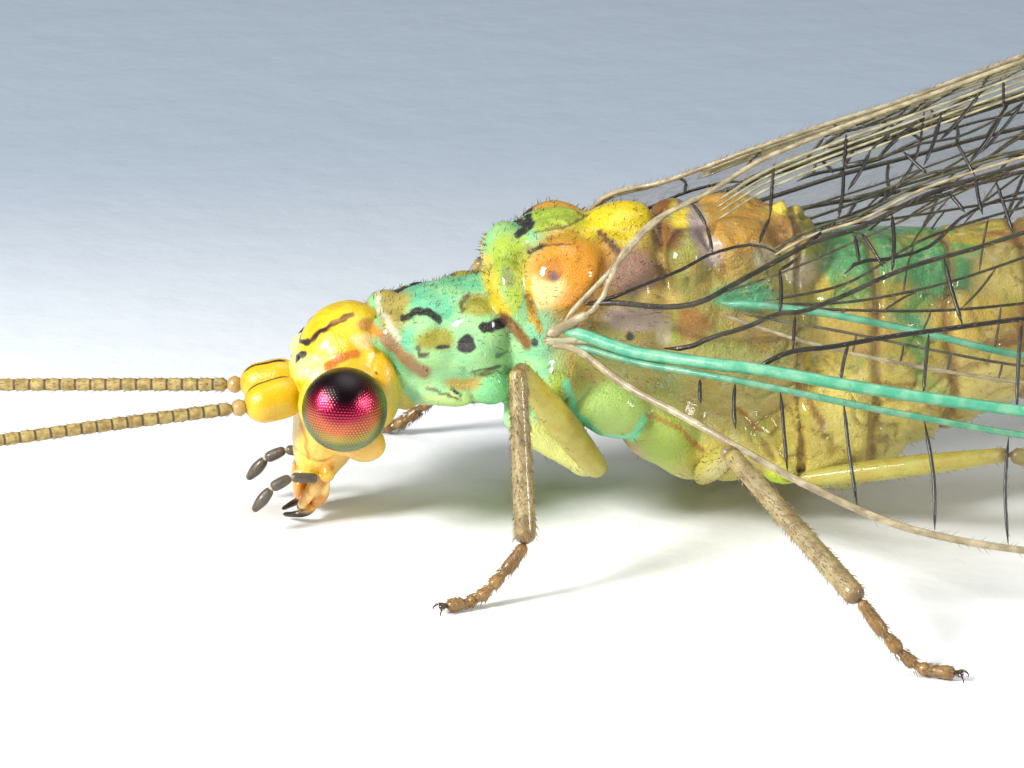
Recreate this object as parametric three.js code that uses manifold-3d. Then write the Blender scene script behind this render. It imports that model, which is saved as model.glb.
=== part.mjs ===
// Green lacewing at rest, a still life-size display model.
// Millimetres, +Z up. The head points to -X and the left side faces -Y; the six feet stand on Z = 0.
// Points and tables are given for one side, with Y counted outwards from the middle of the body.
import * as THREE from "three";
import { mergeVertices } from "three/addons/utils/BufferGeometryUtils.js";
import Module from "manifold-3d";

const wasm = await Module();
wasm.setup();

// Driving sizes
const GAP = 0.12; // clear space between neighbouring pieces
const STOUT = 0.25; // radius of a leg or feeler away from its tip
const MEMBRANE = 0.45; // thickness of a wing between its veins
const VEIN_HEIGHT = 0.1; // how far a vein stands out of the membrane
const VEIN_HALF_WIDTH = 0.13;
const HINDWING_DEPTH = MEMBRANE + VEIN_HEIGHT + 1.2 * GAP; // below the forewing's middle surface
const EYE_RADIUS = 0.38;
const ANTENNA_LENGTH = 11;

// Finishes
const finish = (color, roughness, extra = {}) =>
  new THREE.MeshStandardMaterial({ color, roughness, metalness: 0, ...extra });
const FINISHES = {
  headYellow: finish(0xd9b81c, 0.4),
  mouthAmber: finish(0xc79a3a, 0.4),
  palpGrey: finish(0x5b5140, 0.5),
  eyeRuby: finish(0x6e1226, 0.12, { metalness: 0.6 }),
  scapeYellow: finish(0xc9a516, 0.4),
  flagellumTan: finish(0x8e7a4e, 0.6),
  pronotumMint: finish(0x86cf8e, 0.45),
  thoraxOchre: finish(0xb9a02a, 0.4),
  thoraxAmber: finish(0xa77f24, 0.4),
  abdomenOlive: finish(0xa3a551, 0.45),
  coxaLime: finish(0xc0c25a, 0.45),
  legOlive: finish(0x9c8a4b, 0.55),
  wingMembrane: finish(0xcfd3bd, 0.2, { transparent: true, opacity: 0.45 }),
};

// The numbers 0 to count - 1, each handed to make.
const times = (count, make) => Array.from({ length: count }, (_, i) => make(i));

// Reads one column of a table of stations at t, on a smooth curve through its rows.
function read(table, t, column) {
  const last = table.length - 1;
  let i = 0;
  while (i < last - 1 && t > table[i + 1][0]) i++;
  const slope = (j) => {
    const before = table[Math.max(j - 1, 0)];
    const after = table[Math.min(j + 1, last)];
    return (after[column] - before[column]) / (after[0] - before[0]);
  };
  const span = table[i + 1][0] - table[i][0];
  const s = THREE.MathUtils.clamp((t - table[i][0]) / span, 0, 1);
  const rise = s * s * (3 - 2 * s);
  const bend = s * (1 - s) * span;
  return (
    table[i][column] * (1 - rise) +
    table[i + 1][column] * rise +
    bend * ((1 - s) * slope(i) - s * slope(i + 1))
  );
}

// A table for read from values that stand at equal shares of the way from 0 to 1.
const evenly = (values) => values.map((value, i) => [i / (values.length - 1), value]);

// A three.js geometry as a solid that can be joined and cut.
function solidOf(geometry) {
  const bare = geometry.clone().deleteAttribute("normal").deleteAttribute("uv");
  const merged = mergeVertices(bare, 1e-5);
  return new wasm.Manifold(
    new wasm.Mesh({
      numProp: 3,
      vertProperties: merged.attributes.position.array,
      triVerts: new Uint32Array(merged.index.array),
    }),
  );
}

// A closed surface from points and triangles, turned to face outwards.
function closed(points, faces) {
  const geometry = new THREE.BufferGeometry().setFromPoints(points).setIndex(faces);
  const solid = solidOf(geometry);
  if (solid.volume() > 0) return solid;
  const turned = faces.map((_, i) => faces[i % 3 === 1 ? i + 1 : i % 3 === 2 ? i - 1 : i]);
  return solidOf(geometry.setIndex(turned));
}

// The triangles between two rows of points, given by the number of each row's first point.
function strip(rowA, rowB, count, wraps) {
  const faces = [];
  for (let i = 0; i < count - (wraps ? 0 : 1); i++) {
    const j = (i + 1) % count;
    faces.push(rowA + i, rowA + j, rowB + j, rowA + i, rowB + j, rowB + i);
  }
  return faces;
}

// A closed skin over rings of points, ending in a low cone up to the tip given for each end.
function loft(rings, firstTip, lastTip) {
  const count = rings[0].length;
  const points = [...rings.flat(), firstTip, lastTip];
  const faces = [];
  for (let r = 0; r < rings.length - 1; r++)
    faces.push(...strip(r * count, (r + 1) * count, count, true));
  const lastRow = (rings.length - 1) * count;
  for (let i = 0; i < count; i++) {
    const j = (i + 1) % count;
    faces.push(points.length - 2, j, i);
    faces.push(points.length - 1, lastRow + i, lastRow + j);
  }
  return closed(points, faces);
}

// A closed plate between two sheets of points that are laid out in the same rows and columns.
function plate(outer, inner) {
  const rows = outer.length;
  const columns = outer[0].length;
  const under = rows * columns;
  const faces = [];
  for (let r = 0; r < rows - 1; r++) {
    const cells = strip(r * columns, (r + 1) * columns, columns, false);
    faces.push(...cells);
    for (let i = 0; i < cells.length; i += 3)
      faces.push(under + cells[i], under + cells[i + 2], under + cells[i + 1]);
  }
  const rim = [
    ...times(columns, (c) => c),
    ...times(rows - 1, (r) => (r + 2) * columns - 1),
    ...times(columns - 1, (c) => under - 2 - c),
    ...times(rows - 2, (r) => (rows - 2 - r) * columns),
  ];
  rim.forEach((a, i) => {
    const b = rim[(i + 1) % rim.length];
    faces.push(a, under + b, b, a, under + a, under + b);
  });
  return closed([...outer.flat(), ...inner.flat()], faces);
}

// A stretch of the body along X. Each station is [x, middle height, half width, half height].
// Its ends are rounded off, square fills out the corners of the section and pinch(t) narrows it.
function trunk(stations, { sides = 16, steps = 8, square = 2.2, pinch = () => 1, grow = 0 } = {}) {
  const from = stations[0][0] - grow;
  const to = stations.at(-1)[0] + grow;
  const INSET = 0.015; // the share of the length that each low end cone takes
  const ring = (k) => {
    const t = INSET + (k / steps) * (1 - 2 * INSET);
    const x = from + (to - from) * t;
    const rounding = (1 - Math.abs(2 * t - 1) ** 6) ** (1 / 6);
    const width = (read(stations, x, 2) * pinch(t) + grow) * rounding;
    const height = (read(stations, x, 3) * pinch(t) + grow) * rounding;
    return times(sides, (i) => {
      const angle = (2 * Math.PI * (i + 0.5)) / sides;
      const across = Math.sign(Math.cos(angle)) * Math.abs(Math.cos(angle)) ** (2 / square);
      const up = Math.sign(Math.sin(angle)) * Math.abs(Math.sin(angle)) ** (2 / square);
      return new THREE.Vector3(x, width * across, read(stations, x, 1) + height * up);
    });
  };
  const end = (x) => new THREE.Vector3(x, 0, read(stations, x, 1));
  return loft(times(steps + 1, ring), end(from), end(to));
}

// A round limb through points, its radii at equal shares of the way, with low domed ends.
function limb(points, radii, { sides = 8, steps = 5, grow = 0 } = {}) {
  const DOME = 0.4; // how far a dome stands out, as a share of the end's radius
  const curve = new THREE.CatmullRomCurve3(points);
  const { tangents, normals, binormals } = curve.computeFrenetFrames(steps, false);
  const widths = evenly(radii);
  const ring = (k) => {
    const stretch = k === 0 ? -grow : k === steps ? grow : 0;
    const middle = curve.getPointAt(k / steps).addScaledVector(tangents[k], stretch);
    const radius = read(widths, k / steps, 1) + grow;
    return times(sides, (i) => {
      const angle = (2 * Math.PI * i) / sides;
      return middle
        .clone()
        .addScaledVector(normals[k], radius * Math.cos(angle))
        .addScaledVector(binormals[k], radius * Math.sin(angle));
    });
  };
  const first = points[0].clone().addScaledVector(tangents[0], -DOME * radii[0] - grow);
  const last = points.at(-1).clone().addScaledVector(tangents[steps], DOME * radii.at(-1) + grow);
  return loft(times(steps + 1, ring), first, last);
}

function ellipsoid([x, y, z], [rx, ry, rz], { detail = 12, grow = 0 } = {}) {
  const ball = new THREE.SphereGeometry(1, detail, Math.round(detail * 0.65));
  return solidOf(ball.scale(rx + grow, ry + grow, rz + grow).translate(x, y, z));
}

const join = (...solids) => solids.reduce((all, next) => all.add(next));
const cut = (solid, ...cutters) => solid.subtract(join(...cutters));

// The largest body of a solid, which drops any loose scrap that a cut leaves.
const largest = (solid) => solid.decompose().sort((a, b) => b.volume() - a.volume())[0];

// What make gives for the left side and for the right, as one solid.
const both = (make) => join(make(-1), make(1));
const SIDES = { left: -1, right: 1 };
const onSide = ([x, y, z], side) => new THREE.Vector3(x, side * y, z);

// Adds a solid as a named mesh whose own origin is its pivot, the point that it grows from.
function place(group, name, solid, pivot, material) {
  const { vertProperties, triVerts } = largest(solid).getMesh();
  const geometry = new THREE.BufferGeometry()
    .setAttribute("position", new THREE.BufferAttribute(new Float32Array(vertProperties), 3))
    .setIndex(new THREE.BufferAttribute(new Uint32Array(triVerts), 1))
    .translate(-pivot.x, -pivot.y, -pivot.z);
  geometry.computeVertexNormals();
  const mesh = new THREE.Mesh(geometry, material);
  mesh.name = name;
  mesh.position.copy(pivot);
  group.add(mesh);
}

// Head: a round cranium with cheeks, over a face that narrows down to the mouth
const CRANIUM = [-1.53, 0, 1.5];
const CRANIUM_RADII = [0.48, 0.66, 0.6];
const CHEEK = [-1.3, 0.42, 0.86];
const CHEEK_RADII = [0.2, 0.2, 0.24];
const FACE = [
  // height, middle X, half depth, half width
  [0.45, -1.77, 0.23, 0.31],
  [0.6, -1.7, 0.3, 0.38],
  [0.85, -1.6, 0.38, 0.48],
  [1.3, -1.54, 0.44, 0.56],
];

function face(grow) {
  const [steps, sides] = [5, 14];
  const from = FACE[0][0] - grow;
  const to = FACE.at(-1)[0];
  const ring = (k) => {
    const z = from + ((to - from) * k) / steps;
    return times(sides, (i) => {
      const angle = (2 * Math.PI * i) / sides;
      const x = read(FACE, z, 1) + (read(FACE, z, 2) + grow) * Math.cos(angle);
      return new THREE.Vector3(x, (read(FACE, z, 3) + grow) * Math.sin(angle), z);
    });
  };
  const end = (z) => new THREE.Vector3(read(FACE, z, 1), 0, z);
  return loft(times(steps + 1, ring), end(from), end(to));
}

const headForm = (grow = 0) =>
  join(
    ellipsoid(CRANIUM, CRANIUM_RADII, { detail: 20, grow }),
    face(grow),
    both((side) => ellipsoid(onSide(CHEEK, side).toArray(), CHEEK_RADII, { detail: 10, grow })),
  );

// Eyes: round and bulging, each in a socket of the head
const EYE = [-1.58, 0.7, 1.29];
const eyeForm = (side, grow = 0) =>
  ellipsoid(onSide(EYE, side).toArray(), Array(3).fill(EYE_RADIUS), { detail: 18, grow });

// Mouth: a short beak of lip and jaws under the face, with a jointed palp on each side
const BEAK = [
  [-1.78, 0, 0.5],
  [-1.84, 0, 0.13],
];
const BEAK_RADII = [0.28, 0.18];
const BEAK_CLEARANCE = 0.05; // how far the jaws stay above the floor
const PALP = [
  [-1.8, 0.36, 0.54],
  [-2.14, 0.46, 0.48],
  [-2.42, 0.5, 0.26],
];
const PALP_RADII = [0.22, 0.2, 0.12];
const beakForm = (grow = 0) =>
  limb(BEAK.map((point) => onSide(point, 1)), BEAK_RADII, { sides: 10, steps: 3, grow });

// Antennae: a stout scape, then a long thread in two lengths that spreads outwards
const SCAPE = [
  [-1.86, 0.32, 1.3],
  [-2.46, 0.36, 1.2],
];
const THREAD_SPREAD = 0.2; // outwards for each millimetre forwards
const THREAD_SAG = 0.062; // downwards for each millimetre forwards
const THREAD_BOW = 0.4; // how far the tip bows outwards beyond that
const THREAD_TIP_RADIUS = 0.14;
const scapeForm = (side, grow = 0) =>
  limb(SCAPE.map((point) => onSide(point, side)), [STOUT, STOUT], { steps: 3, grow });

// The point of an antenna's thread at a share of its length
function threadPoint(share, side) {
  const [x, y, z] = SCAPE[1];
  const forwards = ANTENNA_LENGTH * share;
  const outwards = y + THREAD_SPREAD * forwards + THREAD_BOW * share * share;
  return new THREE.Vector3(x - forwards, side * outwards, z - THREAD_SAG * forwards);
}

// Thorax: stations of its three rings, and the bulges on them
const PROTHORAX = [
  [-1.3, 1.6, 0.5, 0.48],
  [-0.85, 1.66, 0.64, 0.6],
  [-0.5, 1.68, 0.7, 0.63],
  [-0.12, 1.7, 0.68, 0.66],
];
const MESOTHORAX = [
  [-0.16, 1.75, 0.72, 0.72],
  [0.2, 1.88, 0.92, 0.88],
  [0.7, 1.93, 1.0, 0.94],
  [1.3, 1.92, 0.92, 0.92],
];
const METATHORAX = [
  [1.2, 1.86, 0.86, 0.9],
  [1.7, 1.8, 0.88, 0.98],
  [2.2, 1.75, 0.86, 0.96],
  [2.6, 1.66, 0.8, 0.92],
];
const prothoraxForm = (grow = 0) => trunk(PROTHORAX, { grow });
const mesothoraxForm = (grow = 0) =>
  join(
    trunk(MESOTHORAX, { grow }),
    both((side) => ellipsoid([0.42, side * 0.44, 2.42], [0.44, 0.42, 0.38], { grow })),
    ellipsoid([0.22, 0, 2.5], [0.36, 0.36, 0.3], { grow }),
    ellipsoid([1.0, 0, 2.62], [0.3, 0.34, 0.3], { grow }),
    both((side) => ellipsoid([0.75, side * 0.72, 1.4], [0.42, 0.3, 0.4], { grow })),
  );
const metathoraxForm = (grow = 0) =>
  join(
    trunk(METATHORAX, { square: 2, grow }),
    both((side) => ellipsoid([1.78, side * 0.36, 2.46], [0.38, 0.34, 0.38], { grow })),
    ellipsoid([2.2, 0, 2.56], [0.34, 0.28, 0.28], { grow }),
  );

// Abdomen: soft rings, swollen behind the thorax and drawn out to a blunt tip
const ABDOMEN = [
  [2.5, 1.6, 0.78, 0.92],
  [3.1, 1.47, 0.86, 1.1],
  [3.7, 1.55, 0.86, 0.98],
  [4.6, 1.78, 0.84, 0.84],
  [5.6, 1.92, 0.78, 0.74],
  [6.9, 2.08, 0.64, 0.6],
  [7.8, 2.18, 0.46, 0.44],
  [8.2, 2.24, 0.26, 0.26],
];
const ABDOMEN_RINGS = 8;
const RING_PINCH = 0.05; // the share by which the joints between rings are drawn in
const ringPinch = (t) => 1 - RING_PINCH * Math.cos(Math.PI * ABDOMEN_RINGS * t) ** 4;
const abdomenForm = (grow = 0) =>
  trunk(ABDOMEN, { steps: ABDOMEN_RINGS * 3, pinch: ringPinch, grow });

// Legs: the joints of one side, and how far the right foot stands from the mirrored place
const LEGS = {
  front: {
    hip: [-0.12, 0.45, 1.22],
    turn: [0.72, 0.62, 0.52],
    knee: [-0.11, 1.5, 1.9],
    ankle: [-0.1, 2.2, 0.5],
    toe: [-0.84, 2.46, 0.14],
    rightFoot: [-0.35, -0.3, 0],
  },
  middle: {
    hip: [1.12, 0.5, 1.05],
    turn: [1.66, 0.64, 0.47],
    knee: [1.7, 2.46, 1.36],
    ankle: [2.56, 4.0, 0.6],
    toe: [3.36, 4.42, 0.14],
    rightFoot: [-0.2, 0, 0],
  },
  hind: {
    hip: [2.02, 0.46, 0.98],
    turn: [2.54, 0.72, 0.44],
    knee: [4.3, 1.58, 0.96],
    ankle: [7.15, 2.25, 0.44],
    toe: [8.1, 2.45, 0.14],
    rightFoot: [0.3, 0.1, 0],
  },
};
const COXA_RADII = [0.27, 0.28, STOUT];
const FEMUR_RADII = [STOUT, 0.27, STOUT];
const TIBIA_RADII = [STOUT, STOUT, 0.23];
const TARSUS_RADII = [0.22, 0.19, 0.2, 0.17];
const SOLE_SAG = 0.12; // how far the middle of a tarsus hangs below the line from ankle to toe

// Wings: each lies on one slope of a roof over the back, and the radius vein is the slope's spine.
const WING_ROOT_X = 0.47;
const ROOF = [
  // along the wing, outwards, height, slope in degrees, bulge
  [0, 1.05, 1.99, 62, 0],
  [0.4, 1.26, 1.97, 58, 0.02],
  [0.8, 1.46, 1.95, 46, 0.06],
  [1.3, 1.74, 1.91, 43, 0.1],
  [2.7, 2.22, 1.72, 46, 0.18],
  [4.2, 2.5, 1.56, 50.5, 0.2],
  [6, 2.7, 1.5, 53.5, 0.2],
  [8, 2.75, 1.5, 56.5, 0.16],
  [10, 2.6, 1.55, 57.8, 0.1],
  [12, 2.2, 1.65, 57, 0.06],
  [14, 1.5, 1.8, 55, 0.02],
  [15.2, 1.0, 1.95, 55, 0],
];
const FOREWING = [
  // along the wing, front margin and hind margin above the radius
  [0, -0.2, 0.25],
  [0.36, -0.22, 0.54],
  [0.84, -0.28, 1.3],
  [1.3, -0.36, 1.86],
  [1.8, -0.62, 2.26],
  [2.7, -1.1, 2.8],
  [4.2, -1.2, 3.5],
  [6, -1.08, 4.2],
  [8, -0.92, 4.6],
  [10, -0.82, 4.5],
  [12, -0.7, 3.76],
  [13.6, -0.56, 2.6],
  [14.8, -0.34, 1.15],
  [15.2, -0.08, 0.2],
];
const HINDWING = [
  [1.45, 0.6, 0.95],
  [1.9, 0.56, 1.25],
  [2.6, 0.5, 1.72],
  [4, 0.5, 2.55],
  [6, 0.46, 3.3],
  [8, 0.42, 3.72],
  [10, 0.36, 3.62],
  [12, 0.3, 2.9],
  [13.4, 0.36, 1.7],
  [14.05, 0.6, 0.84],
];
// Veins between the margins, as shares of the breadth at the root, middle and tip
const FOREWING_VEINS = [
  [0.36, 0.2, 0.26],
  [0.48, 0.36, 0.44],
  [0.6, 0.55, 0.6],
  [0.72, 0.72, 0.74],
  [0.85, 0.87, 0.86],
];
const HINDWING_VEINS = [
  [0.3, 0.12, 0.24],
  [0.46, 0.34, 0.42],
  [0.64, 0.56, 0.6],
  [0.82, 0.78, 0.8],
];
const WING_ROWS = 20;

// A point of the left slope: u along the wing, v up from the radius, out from the forewing's middle.
function roof(u, v, out) {
  const slope = THREE.MathUtils.degToRad(read(ROOF, u, 3));
  const [front, hind] = [read(FOREWING, u, 1), read(FOREWING, u, 2)];
  const share = THREE.MathUtils.clamp((v - front) / (hind - front), 0, 1);
  const rise = out + read(ROOF, u, 4) * Math.sin(Math.PI * share);
  return new THREE.Vector3(
    WING_ROOT_X + u,
    -read(ROOF, u, 1) + v * Math.cos(slope) - rise * Math.sin(slope),
    read(ROOF, u, 2) + v * Math.sin(slope) + rise * Math.cos(slope),
  );
}

// A left wing: a thin curved plate whose outer face is raised along its veins and front margin.
function wing(outline, veins, depth) {
  const from = outline[0][0];
  const length = outline.at(-1)[0] - from;
  const half = MEMBRANE / 2;
  const outer = [];
  const inner = [];
  for (let row = 0; row <= WING_ROWS; row++) {
    const t = row / WING_ROWS;
    const u = from + length * (t / 2 + (1 - Math.cos(Math.PI * t)) / 4);
    const front = read(outline, u, 1);
    const breadth = read(outline, u, 2) - front;
    const width = Math.min(VEIN_HALF_WIDTH / breadth, 0.04);
    const height = VEIN_HEIGHT * Math.min(1, breadth);
    // each column is its share of the breadth and how far out its outer face lies
    const columns = [
      [0, 0.7 * half],
      [width, half + height],
      [2 * width, half],
    ];
    for (const shares of veins) {
      const middle = read(evenly(shares), t, 1);
      columns.push([middle - width, half], [middle, half + height], [middle + width, half]);
    }
    columns.push([1 - width, half], [1, 0.6 * half]);
    outer.push(columns.map(([share, out]) => roof(u, front + share * breadth, out - depth)));
    inner.push(
      columns.map(([share, out]) =>
        roof(u, front + share * breadth, -Math.min(out, half) - depth),
      ),
    );
  }
  return plate(outer, inner);
}

// A left wing kept to its own side of the middle of the body
const keptLeft = (solid) => solid.trimByPlane([0, -1, 0], GAP / 2);
const forewingForm = () => keptLeft(wing(FOREWING, FOREWING_VEINS, 0));
const hindwingForm = () => keptLeft(wing(HINDWING, HINDWING_VEINS, HINDWING_DEPTH));

// The builders below each add their sub-part's meshes to the group that they are given.
function buildHead(group) {
  const eyes = both((side) => eyeForm(side, GAP));
  const { headYellow, mouthAmber, palpGrey, eyeRuby } = FINISHES;
  place(group, "head", cut(headForm(), eyes), onSide(CRANIUM, 1), headYellow);
  const beak = cut(beakForm(), headForm(GAP)).trimByPlane([0, 0, 1], BEAK_CLEARANCE);
  place(group, "mouthparts", beak, onSide(BEAK[0], 1), mouthAmber);
  for (const [label, side] of Object.entries(SIDES)) {
    place(group, `eye_${label}`, eyeForm(side), onSide(EYE, side), eyeRuby);
    const palp = limb(PALP.map((point) => onSide(point, side)), PALP_RADII, { steps: 4 });
    const clear = cut(palp, headForm(GAP), beakForm(GAP));
    place(group, `palp_${label}`, clear, onSide(PALP[0], side), palpGrey);
  }
}

function buildAntenna(group, label, side) {
  const { scapeYellow, flagellumTan } = FINISHES;
  const scape = cut(scapeForm(side), headForm(GAP), eyeForm(side, GAP));
  place(group, `scape_${label}`, scape, onSide(SCAPE[0], side), scapeYellow);
  const thread = (from, to, radii, grow = 0) => {
    const shares = [from, (from + to) / 2, to];
    return limb(shares.map((share) => threadPoint(share, side)), radii, { grow });
  };
  const near = cut(thread(0, 0.5, [STOUT, STOUT]), scapeForm(side, GAP));
  const far = cut(
    thread(0.5, 1, [STOUT, STOUT, THREAD_TIP_RADIUS]),
    thread(0, 0.5, [STOUT, STOUT], GAP),
  );
  place(group, `flagellum_${label}_near`, near, threadPoint(0, side), flagellumTan);
  place(group, `flagellum_${label}_far`, far, threadPoint(0.5, side), flagellumTan);
}

function buildBody(group) {
  const { pronotumMint, thoraxOchre, thoraxAmber, abdomenOlive } = FINISHES;
  const middle = (stations) => new THREE.Vector3(stations[1][0], 0, stations[1][1]);
  const prothorax = cut(prothoraxForm(), headForm(GAP), mesothoraxForm(GAP));
  place(group, "prothorax", prothorax, middle(PROTHORAX), pronotumMint);
  place(group, "mesothorax", mesothoraxForm(), middle(MESOTHORAX), thoraxOchre);
  const metathorax = cut(metathoraxForm(), mesothoraxForm(GAP));
  place(group, "metathorax", metathorax, middle(METATHORAX), thoraxAmber);
  const abdomen = cut(abdomenForm(), metathoraxForm(GAP));
  place(group, "abdomen", abdomen, middle(ABDOMEN), abdomenOlive);
}

function buildLeg(group, name, leg, side, body) {
  const shift = side > 0 ? leg.rightFoot : [0, 0, 0];
  const moved = (joint, share) => joint.map((value, i) => value + share * shift[i]);
  const hip = onSide(leg.hip, side);
  const turn = onSide(leg.turn, side);
  const knee = onSide(leg.knee, side);
  const ankle = onSide(moved(leg.ankle, 1), side);
  const toe = onSide(moved(leg.toe, 1), side);
  const sole = ankle.clone().lerp(toe, 0.5);
  sole.z -= SOLE_SAG;
  const segments = [
    ["coxa", [hip, turn], COXA_RADII, FINISHES.coxaLime],
    ["femur", [turn, knee], FEMUR_RADII, FINISHES.legOlive],
    ["tibia", [knee, ankle], TIBIA_RADII, FINISHES.legOlive],
    ["tarsus", [ankle, sole, toe], TARSUS_RADII, FINISHES.legOlive],
  ];
  let before = body;
  for (const [segment, points, radii, material] of segments) {
    const solid = cut(limb(points, radii), before).trimByPlane([0, 0, 1], 0);
    place(group, `${name}_${segment}`, solid, points[0], material);
    before = body.add(limb(points, radii, { grow: GAP }));
  }
}

function buildWings(group, label, side, body) {
  const place2 = (name, solid, root) => {
    const turned = side > 0 ? solid.mirror([0, 1, 0]) : solid;
    const pivot = new THREE.Vector3(root.x, -side * root.y, root.z);
    place(group, `${name}_${label}`, turned, pivot, FINISHES.wingMembrane);
  };
  place2("forewing", cut(forewingForm(), body), roof(0, 0, 0));
  const hindRoot = roof(HINDWING[0][0], HINDWING[0][1], -HINDWING_DEPTH);
  place2("hindwing", cut(hindwingForm(), body), hindRoot);
}

// The whole insect, from its sub-parts
function buildLacewing() {
  const model = new THREE.Group();
  const part = () => {
    const group = new THREE.Group();
    model.add(group);
    return group;
  };
  const body = join(
    prothoraxForm(GAP),
    mesothoraxForm(GAP),
    metathoraxForm(GAP),
    abdomenForm(GAP),
  );
  const head = part();
  buildHead(head);
  buildBody(part());
  for (const [label, side] of Object.entries(SIDES)) {
    buildAntenna(head, label, side);
    for (const [name, leg] of Object.entries(LEGS))
      buildLeg(part(), `${name}_${label}`, leg, side, body);
    buildWings(part(), label, side, body);
  }
  const box = new THREE.Box3().setFromObject(model);
  const middle = box.getCenter(new THREE.Vector3());
  model.position.set(-middle.x, -middle.y, -box.min.z);
  return model;
}

export default buildLacewing();
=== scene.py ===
"""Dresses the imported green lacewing: skin, eyes, feelers, mouth, legs, hairs and netted wings.

Shapes are made in millimetres in the insect's own frame, where the head points to -X, the left
side faces -Y, the floor is Z = 0 and Y is counted outwards on either side. finish_piece moves
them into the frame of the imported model, in metres.
"""

import math

import bmesh
import bpy
import numpy as np
from mathutils import Matrix, Vector, kdtree, noise


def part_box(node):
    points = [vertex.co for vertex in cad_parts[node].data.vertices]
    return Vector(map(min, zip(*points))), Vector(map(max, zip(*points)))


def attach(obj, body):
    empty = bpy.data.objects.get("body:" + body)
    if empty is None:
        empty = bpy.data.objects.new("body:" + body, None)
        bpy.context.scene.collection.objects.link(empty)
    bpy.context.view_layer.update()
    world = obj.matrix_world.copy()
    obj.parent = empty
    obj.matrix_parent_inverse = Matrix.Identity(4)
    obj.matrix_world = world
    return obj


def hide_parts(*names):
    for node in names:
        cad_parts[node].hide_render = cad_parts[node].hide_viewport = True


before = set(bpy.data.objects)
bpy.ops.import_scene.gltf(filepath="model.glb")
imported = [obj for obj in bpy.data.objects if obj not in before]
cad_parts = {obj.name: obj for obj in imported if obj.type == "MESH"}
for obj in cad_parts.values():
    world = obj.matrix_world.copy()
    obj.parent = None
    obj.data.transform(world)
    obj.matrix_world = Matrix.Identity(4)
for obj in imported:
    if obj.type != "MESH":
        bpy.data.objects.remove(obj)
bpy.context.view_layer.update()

# Driving sizes, in millimetres
MM = 0.001
EYE = Vector((-1.58, 0.7, 1.29))
EYE_RADIUS = 0.385
ANTENNA_LENGTH = 11.0
WING_ROOT_X = 0.47
LEFT, RIGHT = -1, 1
SIDES = {"left": LEFT, "right": RIGHT}

low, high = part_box("eye_left")
SHIFT = (low.x + high.x) / 2 / MM - EYE.x  # from the insect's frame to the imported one, along X
rng = np.random.default_rng(20)
TURN = 2 * math.pi

# Directions of the flattened view of a flank that its marks are laid out on
FLANK_BACK = (0.994, 0.105, 0.0)
FLANK_UP = (0.036, -0.34, 0.94)
FLANK_MIDDLE = 1.146
CREASE_DEPTH = 0.06


# Reading tables

def read(table, t, column=1):
    """One column of a table of stations at t, on a smooth curve through its rows."""
    last = len(table) - 1
    i = 0
    while i < last - 1 and t > table[i + 1][0]:
        i += 1

    def slope(j):
        before, after = table[max(j - 1, 0)], table[min(j + 1, last)]
        return (after[column] - before[column]) / (after[0] - before[0])

    span = table[i + 1][0] - table[i][0]
    s = min(max((t - table[i][0]) / span, 0), 1)
    rise = s * s * (3 - 2 * s)
    bend = s * (1 - s) * span
    straight = table[i][column] * (1 - rise) + table[i + 1][column] * rise
    return straight + bend * ((1 - s) * slope(i) - s * slope(i + 1))


def evenly(values):
    """A table for read, from values at equal shares of the way from 0 to 1."""
    return [(i / (len(values) - 1), value) for i, value in enumerate(values)]


def smooth_path(points, steps):
    """Points at even steps on a smooth curve through the given ones."""
    points = [Vector(p) for p in points]
    lengths = [0.0]
    for a, b in zip(points, points[1:]):
        lengths.append(lengths[-1] + (b - a).length)
    tables = [[(s, p[axis]) for s, p in zip(lengths, points)] for axis in range(3)]
    ways = [lengths[-1] * i / steps for i in range(steps + 1)]
    return [Vector([read(table, way) for table in tables]) for way in ways]


def on_side(point, side):
    return Vector((point[0], side * point[1], point[2]))


# Shader maths

class Socket:
    """A shader socket that sums can be written on."""

    def __init__(self, finish, socket):
        self.finish = finish
        self.socket = socket

    def __add__(self, other):
        return self.finish.math("ADD", self, other)

    def __radd__(self, other):
        return self.finish.math("ADD", other, self)

    def __sub__(self, other):
        return self.finish.math("SUBTRACT", self, other)

    def __rsub__(self, other):
        return self.finish.math("SUBTRACT", other, self)

    def __mul__(self, other):
        return self.finish.math("MULTIPLY", self, other)

    def __rmul__(self, other):
        return self.finish.math("MULTIPLY", other, self)

    def __truediv__(self, other):
        return self.finish.math("DIVIDE", self, other)

    def __rtruediv__(self, other):
        return self.finish.math("DIVIDE", other, self)

    def __pow__(self, other):
        return self.finish.math("POWER", self, other)


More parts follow.
